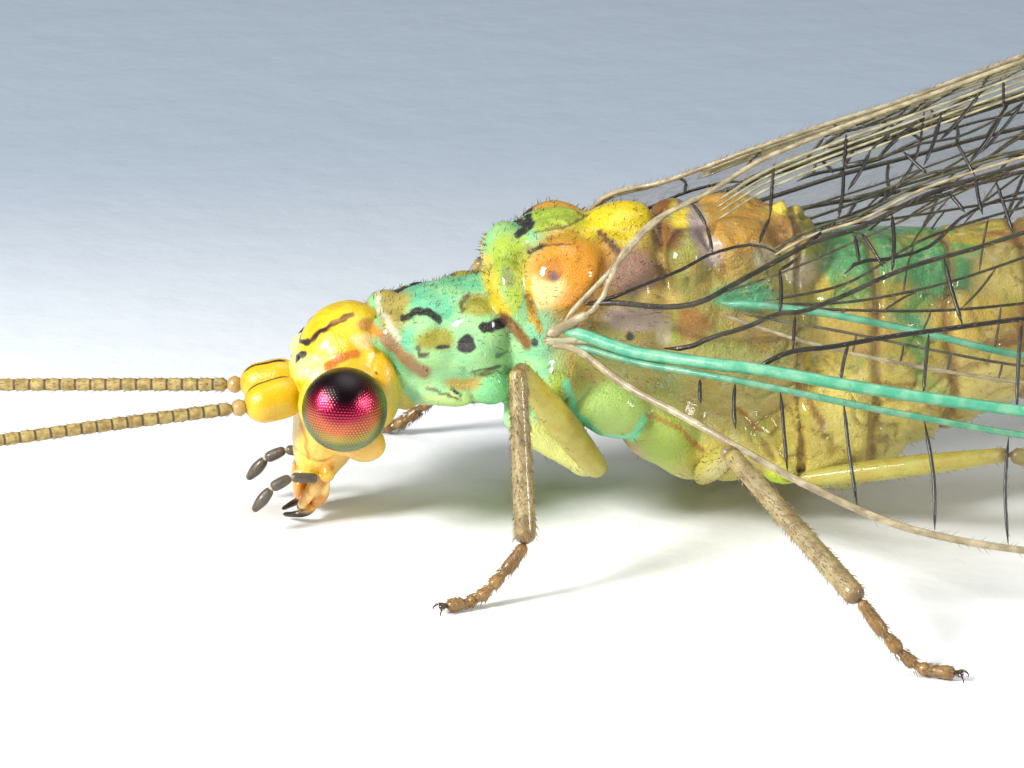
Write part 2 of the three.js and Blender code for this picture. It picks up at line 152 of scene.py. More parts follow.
class Finish:
    """A procedural material while it is put together."""

    def __init__(self, name, **fixed):
        self.material = bpy.data.materials.new(name)
        self.material.use_nodes = True
        self.tree = self.material.node_tree
        self.shader = self.tree.nodes["Principled BSDF"]
        self.output = self.tree.nodes["Material Output"]
        for key, value in fixed.items():
            self.shader.inputs[key.replace("_", " ")].default_value = value

    def node(self, kind, settings=None, values=None, output=0):
        """Adds a node, sets it, then gives its sockets their values or links."""
        node = self.tree.nodes.new(kind)
        for key, value in (settings or {}).items():
            setattr(node, key, value)
        for key, value in (values or {}).items():
            self.feed(node.inputs[key], value)
        return Socket(self, node.outputs[output])

    def feed(self, target, value):
        if isinstance(value, Socket):
            self.tree.links.new(value.socket, target)
        else:
            target.default_value = value

    def set(self, **sockets):
        """Feeds the shader's sockets, such as Base_Color."""
        for key, value in sockets.items():
            self.feed(self.shader.inputs[key.replace("_", " ")], value)
        return self.material

    def math(self, operation, *values, clamp=False):
        settings = {"operation": operation, "use_clamp": clamp}
        return self.node("ShaderNodeMath", settings, dict(enumerate(values)))

    def vector(self, operation, *values, scale=None):
        inputs = dict(enumerate(values))
        if scale is not None:
            inputs["Scale"] = scale
        output = 1 if operation in ("LENGTH", "DISTANCE", "DOT_PRODUCT") else 0
        return self.node("ShaderNodeVectorMath", {"operation": operation}, inputs, output)

    def mix(self, share, a, b):
        a, b = (v if isinstance(v, Socket) else (*v, 1) for v in (a, b))
        values = {0: share, 6: a, 7: b}
        return self.node("ShaderNodeMix", {"data_type": "RGBA"}, values, 2)

    def step(self, value, start, end):
        """Rises smoothly from 0 where value is start to 1 where it is end."""
        settings = {"interpolation_type": "SMOOTHSTEP"}
        return self.node("ShaderNodeMapRange", settings, {"Value": value, 1: start, 2: end})

    def noise(self, place, scale, detail=2.0, color=False):
        values = {"Vector": place, "Scale": scale, "Detail": detail}
        return self.node("ShaderNodeTexNoise", None, values, 1 if color else 0)

    def attribute(self, name):
        return self.node("ShaderNodeAttribute", {"attribute_name": name}, None, 2)

    def place(self, mirrored=True):
        """Where the surface is, in the insect's millimetres, with Y counted outwards."""
        place = self.node("ShaderNodeTexCoord", None, None, 3)
        place = self.vector("SUBTRACT", place, (SHIFT * MM, 0, 0))
        place = self.vector("SCALE", place, scale=1 / MM)
        if not mirrored:
            return place
        x, y, z = self.parts(place)
        values = {0: x, 1: self.math("ABSOLUTE", y), 2: z}
        return self.node("ShaderNodeCombineXYZ", None, values)

    def parts(self, place):
        node = self.tree.nodes.new("ShaderNodeSeparateXYZ")
        self.feed(node.inputs[0], place)
        return [Socket(self, output) for output in node.outputs]

    def painted(self, color, edge):
        """The colour under what paint laid on a skin, with its marks black and ragged."""
        tone = self.node("ShaderNodeAttribute", {"attribute_name": "tone"})
        cover = Socket(self, tone.socket.node.outputs["Alpha"])
        bare = self.vector("SCALE", color, scale=1 - cover)
        color = self.vector("ADD", bare, tone)
        mark = self.attribute("mark") + edge
        return self.mix(self.step(mark, 0.012, -0.012), color, (0.012, 0.01, 0.008))

    def ragged(self, place, scale, amount):
        """The place, pushed about a little, so that what is drawn on it has a ragged edge."""
        push = self.vector("SUBTRACT", self.noise(place, scale, 3.0, color=True), (0.5,) * 3)
        return self.vector("ADD", place, self.vector("SCALE", push, scale=amount))

    def stroke(self, place, start, end, width, soft=0.3):
        """1 inside a round-ended stroke from start to end and 0 outside it."""
        run = Vector(end) - Vector(start)
        offset = self.vector("SUBTRACT", place, start)
        dot = self.vector("DOT_PRODUCT", offset, tuple(run))
        share = self.math("DIVIDE", dot, run.length_squared, clamp=True)
        nearest = self.vector("SCALE", tuple(run), scale=share)
        distance = self.vector("DISTANCE", offset, nearest)
        return self.step(distance, width * (1 + soft), width * (1 - soft))

    def bump(self, height, depth, strength=1.0):
        """A normal from a height of 0 to 1, with its depth in millimetres."""
        values = {"Height": height, "Distance": depth * MM, "Strength": strength}
        return self.node("ShaderNodeBump", None, values)


# Painting marks on skins

def smooth_step(value, start, end):
    share = np.clip((value - start) / (end - start), 0, 1)
    return share * share * (3 - 2 * share)


def on_flank(points):
    """Points as seen from beside and a little above, as (back, up) from the middle."""
    outwards = np.abs(points[:, 1])
    seen = np.stack([points[:, 0], outwards, points[:, 2]], 1)
    return np.stack([seen @ FLANK_BACK, seen @ FLANK_UP - FLANK_MIDDLE], 1)


def pushed(flank, points, scale, amount):
    """Places on the flank, moved about a little, so that what is laid there has ragged edges."""
    pushes = [noise.noise_vector(Vector(point) * scale)[:2] for point in points]
    return flank + amount * np.array(pushes)


def gap_to(flank, line):
    """How far places on the flank lie from a line of points."""
    gap = np.full(len(flank), 9.0)
    for start, end in zip(line, line[1:]):
        run = np.subtract(end, start)
        share = np.clip((flank - start) @ run / (run @ run), 0, 1)
        gap = np.minimum(gap, np.linalg.norm(flank - start - share[:, None] * run, axis=1))
    return gap


def paint(mesh, zones, lines, marks):
    """Lays oval zones and lines of colour on a skin, and the distance to its black marks."""
    points = np.zeros(3 * len(mesh.vertices))
    mesh.vertices.foreach_get("co", points)
    points = points.reshape(-1, 3)
    flank = on_flank(points)
    broad = pushed(flank, points, 5.0, 0.05)
    fine = pushed(flank, points, 14.0, 0.018)
    tone = np.zeros((len(points), 4))

    def lay(mask, color):
        tone[:] = tone * (1 - mask[:, None]) + mask[:, None] * [*color, 1]

    for middle, radii, color in zones:
        ratio = np.linalg.norm((broad - middle) / radii, axis=1)
        lay(smooth_step(ratio, 1.35, 0.65), color)
    for line, width, color in lines:
        lay(smooth_step(gap_to(fine, line) / width, 1.4, 0.6), color)
    gaps = [gap_to(fine, line) - width for line, width in marks]
    layer = mesh.color_attributes.new("tone", "FLOAT_COLOR", "POINT")
    layer.data.foreach_set("color", tone.ravel())
    layer = mesh.attributes.new("mark", "FLOAT", "POINT")
    layer.data.foreach_set("value", np.min(gaps, axis=0))


# Making shapes

def sheet(bm, rows, columns, place):
    """A grid of faces whose points place(s, t) lays in space, with s and t from 0 to 1."""
    made = bmesh.ops.create_grid(bm, x_segments=rows, y_segments=columns, size=1)
    for vert in made["verts"]:
        vert.co = place((vert.co.x + 1) / 2, (vert.co.y + 1) / 2)
    return made["verts"]


def ball(bm, centre, radii, turn=0.0, detail=4, sides=(LEFT, RIGHT)):
    """A round lump, on both sides unless it lies on the middle, turned about Y by degrees."""
    if centre[1] == 0:
        sides = (RIGHT,)
    for side in sides:
        scale = Matrix.Diagonal((*radii, 1))
        spin = Matrix.Rotation(math.radians(turn), 4, "Y")
        matrix = Matrix.Translation(on_side(centre, side)) @ spin @ scale
        bmesh.ops.create_icosphere(bm, subdivisions=detail, radius=1, matrix=matrix)


def frames_along(path):
    """Two directions across a path at each of its points, which never twist about it."""
    tangents = [
        (path[min(i + 1, len(path) - 1)] - path[max(i - 1, 0)]).normalized()
        for i in range(len(path))
    ]
    across = tangents[0].cross(Vector((0.13, 0.21, 1))).normalized()
    result = []
    for tangent in tangents:
        across = (across - tangent * across.dot(tangent)).normalized()
        result.append((across, tangent.cross(across)))
    return result


def tube(bm, path, radius, sides=10, layers=None):
    """A closed round-ended tube on a path. radius is a number or a function of the way's share.

    layers maps a layer's name to a function of that share.
    """
    frames = frames_along(path)
    frames = [frames[0], *frames, frames[-1]]
    ways = [0.0]
    for a, b in zip(path, path[1:]):
        ways.append(ways[-1] + (b - a).length)
    path = [path[0], *path, path[-1]]
    rows = len(path) - 1
    for name in layers or {}:
        if name not in bm.verts.layers.float:
            bm.verts.layers.float.new(name)
    grid = bmesh.ops.create_grid(bm, x_segments=rows, y_segments=sides, size=1)["verts"]
    for vert in grid:
        row = round((vert.co.x + 1) / 2 * rows)
        angle = TURN * (vert.co.y + 1) / 2
        station = min(max(row - 1, 0), rows - 2)
        share = station / (rows - 2)
        for name, value in (layers or {}).items():
            vert[bm.verts.layers.float[name]] = value(share)
        size = radius(share) if callable(radius) else radius
        inset = max(1 - min(ways[station], ways[-1] - ways[station]) / size, 0)
        size *= math.sqrt(max(1 - inset * inset, 0.04))
        if row in (0, rows):
            size = 0
        across, up = frames[row]
        vert.co = path[row] + size * (math.cos(angle) * across + math.sin(angle) * up)


def trunk(bm, stations, sides=28, steps=20, square=2.2):
    """A closed stretch of the body along X, from stations [x, middle, half width, half height]."""
    start, end = stations[0][0], stations[-1][0]

    def place(s, t):
        x = start + (end - start) * s
        rounding = max(1 - abs(2 * s - 1) ** 6, 0) ** (1 / 6)
        c, d = math.cos(TURN * t), math.sin(TURN * t)
        across = math.copysign(abs(c) ** (2 / square), c) * read(stations, x, 2) * rounding
        up = math.copysign(abs(d) ** (2 / square), d) * read(stations, x, 3) * rounding
        return Vector((x, across, read(stations, x, 1) + up))

    sheet(bm, steps, sides, place)


def close(bm):
    """Merges seams and poles and turns every face outwards."""
    bmesh.ops.remove_doubles(bm, verts=bm.verts, dist=1e-5)
    bmesh.ops.dissolve_degenerate(bm, edges=bm.edges, dist=1e-6)
    bmesh.ops.recalc_face_normals(bm, faces=bm.faces)


def melt(bm, voxel, smoothing):
    """Melts closed shapes into one smooth skin."""
    close(bm)
    mesh = bpy.data.meshes.new("melting")
    bm.to_mesh(mesh)
    bm.free()
    holder = bpy.data.objects.new("melting", mesh)
    bpy.context.scene.collection.objects.link(holder)
    remesh = holder.modifiers.new("Remesh", "REMESH")
    remesh.mode = "VOXEL"
    remesh.voxel_size = voxel
    smooth = holder.modifiers.new("Smooth", "SMOOTH")
    smooth.iterations = smoothing
    melted = holder.evaluated_get(bpy.context.evaluated_depsgraph_get())
    skin = bmesh.new()
    skin.from_mesh(bpy.data.meshes.new_from_object(melted))
    bpy.data.objects.remove(holder)
    return skin


def relief(bm, height, grooves):
    """Moves each point of a skin along its normal by height(place) less grooves(place).

    The depth of the grooves, as a share of CREASE_DEPTH, is kept in the skin's "crease" layer.
    """
    bm.normal_update()
    crease = bm.verts.layers.float.new("crease")
    moves = []
    for vert in bm.verts:
        depth = grooves(vert.co)
        vert[crease] = depth / CREASE_DEPTH
        moves.append((vert, vert.normal * (height(vert.co) - depth)))
    for vert, move in moves:
        vert.co += move


def grooves_of(table, place):
    """How deep the grooves of a table are at a place, counted outwards on either side."""
    here = Vector((place.x, abs(place.y), place.z))
    depth = 0.0
    for points, width, full in table:
        if abs(here.x - points[0][0]) < 1.2:
            gap = distance_to([Vector(p) for p in points], here)
            depth += full * math.exp(-((gap / width) ** 2))
    return depth


def distance_to(path, place):
    """How far a place lies from the nearest of a path's straight lengths."""
    nearest = 9.0
    for a, b in zip(path, path[1:]):
        run = b - a
        share = min(max((place - a).dot(run) / run.length_squared, 0), 1)
        nearest = min(nearest, (place - a - share * run).length)
    return nearest


def finish_piece(bm, name, material, replaces=(), smooth=True, marking=None):
    """Makes an object of a shape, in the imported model's frame, riding on the body."""
    mesh = bpy.data.meshes.new(name)
    bm.to_mesh(mesh)
    bm.free()
    if marking:
        paint(mesh, *marking)
    return finish_mesh(mesh, name, material, replaces, smooth)


def finish_mesh(mesh, name, material, replaces=(), smooth=True):
    mesh.transform(Matrix.Scale(MM, 4) @ Matrix.Translation((SHIFT, 0, 0)))
    mesh.materials.append(material)
    mesh.polygons.foreach_set("use_smooth", [smooth] * len(mesh.polygons))
    piece = bpy.data.objects.new(name, mesh)
    bpy.context.scene.collection.objects.link(piece)
    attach(piece, "root")
    if replaces:
        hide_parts(*replaces)
    return piece


# Hairs

def hairs(roots, directions, lengths, width, droop=0.25):
    """Thin tapered hairs as one mesh: a root triangle, a bent waist and a tip each."""
    count = len(roots)
    roots = np.array(roots, float).reshape(-1, 3)
    directions = np.array(directions, float).reshape(-1, 3)
    directions /= np.linalg.norm(directions, axis=1, keepdims=True)
    lengths = np.array(lengths, float).reshape(-1, 1)
    helper = np.where(np.abs(directions[:, 2:]) < 0.9, [[0.0, 0.0, 1.0]], [[1.0, 0.0, 0.0]])
    across = np.cross(directions, helper)
    across /= np.linalg.norm(across, axis=1, keepdims=True)
    up = np.cross(across, directions)
    bend = rng.normal(0, droop, (count, 1)) * across - droop * np.abs(up)
    points = np.zeros((count, 7, 3))
    for k in range(3):
        angle = TURN * k / 3
        rim = math.cos(angle) * across + math.sin(angle) * up
        points[:, k] = roots + rim * width / 2 - directions * width
        points[:, 3 + k] = roots + directions * lengths * 0.5 + rim * width * 0.36
        points[:, 3 + k] += bend * lengths * 0.1
    points[:, 6] = roots + directions * lengths + bend * lengths * 0.4
    faces = []
    for i in range(count):
        b = 7 * i
        faces.append((b, b + 2, b + 1))
        for k in range(3):
            j = (k + 1) % 3
            faces.append((b + k, b + j, b + 3 + j, b + 3 + k))
            faces.append((b + 3 + k, b + 3 + j, b + 6))
    mesh = bpy.data.meshes.new("hairs")
    mesh.from_pydata(points.reshape(-1, 3).tolist(), [], faces)
    unwrap_hairs(mesh, roots)
    return mesh


def unwrap_hairs(mesh, roots):
    """Lays each hair's faces in a small patch where its root lies on the body's unwrap."""
    patch = 0.003
    x = (roots[:, 0] + 14) / 31
    y = np.arctan2(roots[:, 1], roots[:, 2] - 1.6) / TURN + 0.5
    corners = np.zeros(len(mesh.loops), int)
    mesh.loops.foreach_get("vertex_index", corners)
    owner, part = corners // 7, corners % 7
    u = x[owner] + patch * np.cos(TURN * part / 6) / 2
    v = y[owner] + patch * np.sin(TURN * part / 6) / 2
    layer = mesh.uv_layers.new(name="OFBake")
    layer.data.foreach_set("uv", np.stack([u, v], 1).astype(np.float32).ravel())


def sown(bm, count, accept, spread=0.35, lean=(0.6, 0, 0.1)):
    """Roots and directions of hairs at random places of a skin where accept(place) allows."""
    faces = list(bm.faces)
    areas = np.array([face.calc_area() for face in faces])
    picks = rng.choice(len(faces), count * 3, p=areas / areas.sum())
    roots, directions = [], []
    for pick in picks:
        face = faces[pick]
        centre = face.calc_center_median()
        if len(roots) >= count:
            break
        if rng.random() > accept(centre):
            continue
        direction = face.normal + Vector(lean) + Vector(rng.normal(0, spread, 3))
        roots.append(centre)
        directions.append(direction)
    return roots, directions


# Finishes that several pieces share

def hair_finish(name, root, tip):
    finish = Finish(name, Roughness=0.45)
    grain = finish.noise(finish.place(), 9.0)
    return finish.set(Base_Color=finish.mix(grain, root, tip))


BLACK_HAIR = hair_finish("black_hair", (0.012, 0.01, 0.008), (0.05, 0.035, 0.02))
TAN_HAIR = hair_finish("tan_hair", (0.20, 0.13, 0.06), (0.34, 0.26, 0.15))


# Head

FACE = [
    # height, middle X, half depth, half width
    (0.36, -1.8, 0.13, 0.22),
    (0.5, -1.77, 0.2, 0.3),
    (0.7, -1.7, 0.31, 0.4),
    (0.95, -1.6, 0.4, 0.5),
    (1.4, -1.54, 0.44, 0.54),
]


def face_form(bm):
    def place(s, t):
        z = FACE[0][0] + (FACE[-1][0] - FACE[0][0]) * min(max(s * 1.1 - 0.05, 0), 1)
        size = 0 if s in (0, 1) else 1
        across = size * read(FACE, z, 3) * math.sin(TURN * t)
        return Vector((read(FACE, z, 1) + size * read(FACE, z, 2) * math.cos(TURN * t), across, z))

    sheet(bm, 12, 24, place)


def head_skin():
    bm = bmesh.new()
    ball(bm, (-1.48, 0, 1.49), (0.49, 0.56, 0.56))
    ball(bm, (-1.5, 0.2, 1.56), (0.42, 0.3, 0.42))
    face_form(bm)
    ball(bm, (-1.41, 0.42, 0.87), (0.23, 0.16, 0.18), 24)
    ball(bm, (-1.55, 0.4, 0.95), (0.3, 0.16, 0.22), 12)
    ball(bm, (-1.58, 0.5, 1.29), (0.41, 0.15, 0.41))
    ball(bm, (-1.92, 0.2, 1.3), (0.13, 0.17, 0.2))
    ball(bm, (-1.84, 0.36, 1.5), (0.15, 0.16, 0.16))
    ball(bm, (-1.24, 0.36, 1.36), (0.2, 0.24, 0.38))
    ball(bm, (-1.71, 0.34, 0.55), (0.065, 0.07, 0.07))
    neck = smooth_path([(-1.35, 0, 1.42), (-1.0, 0, 1.44), (-0.7, 0, 1.5)], 8)
    tube(bm, neck, 0.42, 20)
    return melt(bm, 0.014, 9)


HEAD_GROOVES = [
    # points, width, depth
    ([(-2.02, 0, 0.72), (-1.98, 0.22, 0.7), (-1.8, 0.36, 0.66), (-1.6, 0.46, 0.72)], 0.022, 0.022),
    ([(-1.98, 0.32, 1.1), (-1.9, 0.42, 0.86), (-1.84, 0.42, 0.66)], 0.02, 0.025),
    ([(-1.98, 0.2, 1.62), (-1.8, 0.24, 1.9), (-1.5, 0.26, 2.02), (-1.3, 0.3, 1.98)], 0.022, 0.016),
    ([(-1.95, 0.1, 1.6), (-1.86, 0.34, 1.6), (-1.72, 0.5, 1.66), (-1.5, 0.56, 1.72)], 0.02, 0.018),
    ([(-1.5, 0.5, 1.78), (-1.3, 0.5, 1.8), (-1.14, 0.42, 1.84)], 0.025, 0.02),
    ([(-1.2, 0.3, 1.95), (-1.08, 0.45, 1.7), (-1.04, 0.5, 1.4)], 0.03, 0.03),
]


def head_height(place):
    """The faint unevenness of the head."""
    return 0.006 * noise.noise(place * 5) + 0.003 * noise.noise(place * 13)


def head_grooves(place):
    return grooves_of(HEAD_GROOVES, place)


GROOVE_SHADE = (0.28, 0.12, 0.01)  # painted shade, laid down in the grooves
HEAD_ZONES = [
    # middle and radii on the flank, colour
    ((-1.84, 0.15), (0.17, 0.12), (0.74, 0.66, 0.22)),
    ((-1.33, 0.38), (0.13, 0.06), (0.74, 0.5, 0.2)),
    ((-1.14, 0.12), (0.1, 0.24), (0.66, 0.36, 0.0)),
    ((-0.92, -0.1), (0.2, 0.22), (0.42, 0.35, 0.03)),
    ((-2.02, -0.45), (0.1, 0.4), (0.74, 0.56, 0.18)),
    ((-1.5, -0.6), (0.4, 0.22), (0.68, 0.4, 0.06)),
    ((-1.68, -0.76), (0.08, 0.07), (0.6, 0.26, 0.01)),
    ((-1.3, 0.52), (0.09, 0.06), (0.42, 0.19, 0.01)),
]
HEAD_LINES = [
    # points on the flank, half width, colour
    ([(-1.84, 0.37), (-1.74, 0.46), (-1.63, 0.53), (-1.44, 0.63)], 0.026, (0.2, 0.08, 0.004)),
    ([(-1.64, 0.16), (-1.52, 0.25), (-1.39, 0.27)], 0.042, (0.46, 0.13, 0.0)),
    ([(-1.91, -0.36), (-1.86, -0.5), (-1.84, -0.66)], 0.016, (0.55, 0.2, 0.01)),
]
HEAD_MARKS = [
    # points on the flank, half width
    ([(-1.91, 0.39), (-1.84, 0.37)], 0.026),
    ([(-1.84, 0.37), (-1.74, 0.46), (-1.63, 0.53)], 0.012),
    ([(-2.02, 0.18), (-1.88, 0.27)], 0.03),
    ([(-1.22, 0.1), (-1.21, 0.09)], 0.01),
]


def head_finish():
    finish = Finish("head_skin", Roughness=0.3, Subsurface_Weight=0.15, Subsurface_Scale=0.0001)
    finish.shader.inputs["Subsurface Radius"].default_value = (1.0, 0.6, 0.1)
    finish.shader.inputs["Coat Weight"].default_value = 0.4
    finish.shader.inputs["Coat Roughness"].default_value = 0.22
    place = finish.place()
    cloud = finish.noise(place, 3.2, 5.0)
    blotch = finish.noise(place, 7.5, 4.0)
    color = finish.mix(finish.step(cloud, 0.3, 0.7), (0.6, 0.37, 0.0), (0.72, 0.56, 0.01))
    color = finish.painted(color, 0.03 * blotch - 0.015)
    color = finish.mix(finish.step(blotch, 0.56, 0.72) * 0.35, color, (0.62, 0.3, 0.01))
    # painted shade: the skin darkens down in its grooves, by the depth kept in the crease layer
    color = finish.mix(finish.step(finish.attribute("crease"), 0.1, 0.5) * 0.45, color, GROOVE_SHADE)
    pores = finish.noise(place, 55.0, 3.0)
    wrinkle = finish.noise(place, 16.0, 4.0)
    finish.set(Base_Color=color, Normal=finish.bump(pores * 0.4 + wrinkle * 0.6, 0.02))
    return finish.set(Roughness=0.22 + 0.25 * cloud)


def build_head():
    bm = head_skin()
    relief(bm, head_height, head_grooves)
    marking = (HEAD_ZONES, HEAD_LINES, HEAD_MARKS)
    finish_piece(bm, "head_skin", head_finish(), ["head"], marking=marking)


# Eyes

EYE_ON_FLANK = (-1.5, -0.23)
FACET_SPACING = 0.04  # half the gap between facets, as a share of the eye's radius
FACET_DEPTH = 0.0045


def eye_finish():
    """Dark above, a painted reflection; magenta in the middle, gold and green round the rim, partly own colour
    and partly painted iridescence.
    """
    finish = Finish("eye_facets", Metallic=0.9, Roughness=0.22, Coat_Weight=0.45)
    finish.shader.inputs["Coat Roughness"].default_value = 0.12
    place = finish.place()
    x, y, z = finish.parts(place)
    back = finish.vector("DOT_PRODUCT", place, FLANK_BACK)
    up = finish.vector("DOT_PRODUCT", place, FLANK_UP) - FLANK_MIDDLE
    flank = finish.node("ShaderNodeCombineXYZ", None, {0: back, 1: up})
    middle = finish.vector("DISTANCE", flank, (*EYE_ON_FLANK, 0)) / EYE_RADIUS
    raised = (EYE_ON_FLANK[0], EYE_ON_FLANK[1] + 0.2, 0)
    low = finish.vector("DISTANCE", flank, raised) / EYE_RADIUS
    # painted reflection: black round a point above the middle; the magenta, gold and green bands outwards are
    # partly painted iridescence fixed by place
    color = finish.mix(finish.step(low, 0.28, 0.62), (0.02, 0.002, 0.012), (0.5, 0.008, 0.06))
    color = finish.mix(finish.step(low, 0.72, 1.02), color, (0.62, 0.16, 0.06))
    color = finish.mix(finish.step(low, 1.05, 1.25), color, (0.4, 0.3, 0.05))
    green = finish.math("MAXIMUM", finish.step(low, 1.25, 1.4), finish.step(middle, 0.8, 0.94))
    color = finish.mix(green, color, (0.12, 0.2, 0.03))
    # painted reflection of dark surroundings: the top of the eye darkened
    reflected_dark_top = finish.step(z, EYE.z + 0.14, EYE.z + 0.3)
    color = finish.mix(reflected_dark_top * 0.85, color, (0.012, 0.006, 0.006))
    border = finish.step(finish.attribute("border"), 0.5, 1.0)
    return finish.set(Base_Color=finish.mix(border * 0.75, color, (0.01, 0.002, 0.002)))


def build_eyes():
    """Each eye is a ball of small domes, one at every point of an even net."""
    material = eye_finish()
    for label, side in SIDES.items():
        bm = bmesh.new()
        bmesh.ops.create_icosphere(bm, subdivisions=5, radius=1)
        middles = kdtree.KDTree(len(bm.verts))
        for i, vert in enumerate(bm.verts):
            middles.insert(vert.co, i)
        middles.balance()
        border = bm.verts.layers.float.new("border")
        bmesh.ops.subdivide_edges(bm, edges=bm.edges, cuts=3, use_grid_fill=True)
        for vert in bm.verts:
            direction = vert.co.normalized()
            gap = middles.find(direction)[2] / FACET_SPACING
            vert[border] = gap
            vert.co = direction * (EYE_RADIUS - FACET_DEPTH * gap * gap)
        bmesh.ops.scale(bm, vec=(1, 0.92, 1), verts=bm.verts)
        bmesh.ops.translate(bm, vec=on_side(EYE, side), verts=bm.verts)
        finish_piece(bm, f"eye_{label}_facets", material, [f"eye_{label}"])


# Feelers

SCAPE = [(-1.9, 0.2, 1.32), (-2.1, 0.24, 1.26), (-2.3, 0.27, 1.22), (-2.46, 0.3, 1.2)]
SCAPE_RADII = evenly([0.16, 0.19, 0.185, 0.17])
THREAD_SPREAD = 0.185
THREAD_SLOPE = 0.026
THREAD_SAG = 0.396
THREAD_BOW = 0.5
THREAD_RADIUS = 0.06
SEGMENT_LENGTH = 0.138


def thread_point(way, side):
    share = way / ANTENNA_LENGTH
    root = SCAPE[-1]
    out = root[1] + THREAD_SPREAD * way + THREAD_BOW * share * share
    return Vector((root[0] - way, side * out, root[2] - THREAD_SLOPE * way - THREAD_SAG * share**2))


def thread_finish():
    """Tan feeler rings, each darker where it meets the next."""
    finish = Finish("feeler_thread", Roughness=0.5, Subsurface_Weight=0.1)
    finish.shader.inputs["Subsurface Scale"].default_value = 0.00005
    ring = finish.attribute("ring")
    place = finish.place()
    grain = finish.noise(place, 14.0, 3.0)
    color = finish.mix(finish.step(grain, 0.3, 0.7), (0.22, 0.14, 0.03), (0.42, 0.31, 0.1))
    color = finish.mix(finish.step(ring, 0.35, 0.95), color, (0.05, 0.03, 0.008))
    fine = finish.noise(place, 110.0, 2.0)
    return finish.set(Base_Color=color, Normal=finish.bump(fine, 0.006))


def scape_finish():
    finish = Finish("feeler_root", Roughness=0.3, Subsurface_Weight=0.12, Coat_Weight=0.2)
    finish.shader.inputs["Subsurface Scale"].default_value = 0.0001
    place = finish.place()
    ragged = finish.ragged(place, 8.0, 0.05)
    cloud = finish.noise(place, 5.0, 4.0)
    color = finish.mix(cloud, (0.58, 0.32, 0.0), (0.7, 0.46, 0.01))
    x, y, z = finish.parts(place)
    color = finish.mix(finish.step(x, -2.38, -2.52), color, (0.4, 0.25, 0.08))
    line = finish.stroke(ragged, (-2.0, 0.2, 1.48), (-2.42, 0.26, 1.36), 0.022)
    color = finish.mix(line, color, (0.05, 0.02, 0.005))
    pores = finish.noise(place, 60.0, 2.0)
    return finish.set(Base_Color=color, Normal=finish.bump(pores, 0.005))


def thread_rings():
    """The way to each ring's stations along a feeler, with its share of ring radius and shade."""
    profile = [(0.0, 0.9, 1.0), (0.14, 0.98, 0.35), (0.45, 1.03, 0.0), (0.82, 1.0, 0.2)]
    stations = []
    way = 0.1
    while way < ANTENNA_LENGTH:
        stations += [(way + SEGMENT_LENGTH * part, size, dark) for part, size, dark in profile]
        way += SEGMENT_LENGTH
    return stations


def build_antennae():
    thread, root = thread_finish(), scape_finish()
    stations = thread_rings()
    for label, side in SIDES.items():
        bm = bmesh.new()
        path = smooth_path([on_side(p, side) for p in SCAPE], 14)
        tube(bm, path, lambda s: read(SCAPE_RADII, s), 24)
        collar = [thread_point(way, side) for way in (-0.03, 0.0, 0.04, 0.09, 0.12)]
        tube(bm, collar, 0.082, 16)
        close(bm)
        finish_piece(bm, f"feeler_root_{label}", root, [f"scape_{label}"])

        bm = bmesh.new()
        path = [thread_point(way, side) for way, _, _ in stations]
        count = len(stations) - 1
        sizes = [size for _, size, _ in stations]
        shades = [dark for _, _, dark in stations]

        def radius(share):
            taper = 1 - 0.45 * share
            return THREAD_RADIUS * taper * sizes[round(share * count)]

        tube(bm, path, radius, 12, layers={"ring": lambda s: shades[round(s * count)]})
        close(bm)
        nodes = [f"flagellum_{label}_near", f"flagellum_{label}_far"]
        finish_piece(bm, f"feeler_thread_{label}", thread, nodes)
        build_thread_hairs(label, side)


def build_thread_hairs(label, side):
    """Rings of short bristles that lean towards a feeler's tip."""
    roots, directions = [], []
    for ring in range(int(ANTENNA_LENGTH / SEGMENT_LENGTH)):
        for row in (0.3, 0.7):
            way = 0.1 + (ring + row) * SEGMENT_LENGTH
            here = thread_point(way, side)
            ahead = (thread_point(way + 0.1, side) - here).normalized()
            across = ahead.cross(Vector((0, 0, 1))).normalized()
            up = across.cross(ahead)
            radius = THREAD_RADIUS * (1 - 0.45 * way / ANTENNA_LENGTH)
            for k in range(7):
                angle = TURN * (k + rng.random()) / 7
                out = math.cos(angle) * across + math.sin(angle) * up
                roots.append(here + out * radius)
                directions.append(out * 0.5 + ahead * 1.1)
    mesh = hairs(roots, directions, rng.uniform(0.03, 0.06, len(roots)), 0.006, 0.1)
    finish_mesh(mesh, f"feeler_hairs_{label}", TAN_HAIR)


# Mouth

def mouth_finish():
    finish = Finish("mouth_amber", Roughness=0.25, Subsurface_Weight=0.4, Coat_Weight=0.4)
    finish.shader.inputs["Subsurface Scale"].default_value = 0.0001
    place = finish.place()
    cloud = finish.noise(place, 8.0, 4.0)
    color = finish.mix(finish.step(cloud, 0.35, 0.65), (0.55, 0.22, 0.01), (0.8, 0.56, 0.18))
    x, y, z = finish.parts(place)
    color = finish.mix(finish.step(z, 0.17, 0.1), color, (0.02, 0.01, 0.006))
    return finish.set(Base_Color=color, Normal=finish.bump(finish.noise(place, 40.0), 0.006))


def palp_finish():
    finish = Finish("palp_grey", Roughness=0.38, Coat_Weight=0.2)
    joint = finish.attribute("joint")
    place = finish.place()
    cloud = finish.noise(place, 12.0, 3.0)
    color = finish.mix(cloud, (0.03, 0.024, 0.016), (0.13, 0.1, 0.07))
    color = finish.mix(finish.step(joint, 0.4, 0.9), color, (0.4, 0.35, 0.25))
    return finish.set(Base_Color=color, Normal=finish.bump(finish.noise(place, 70.0), 0.006))


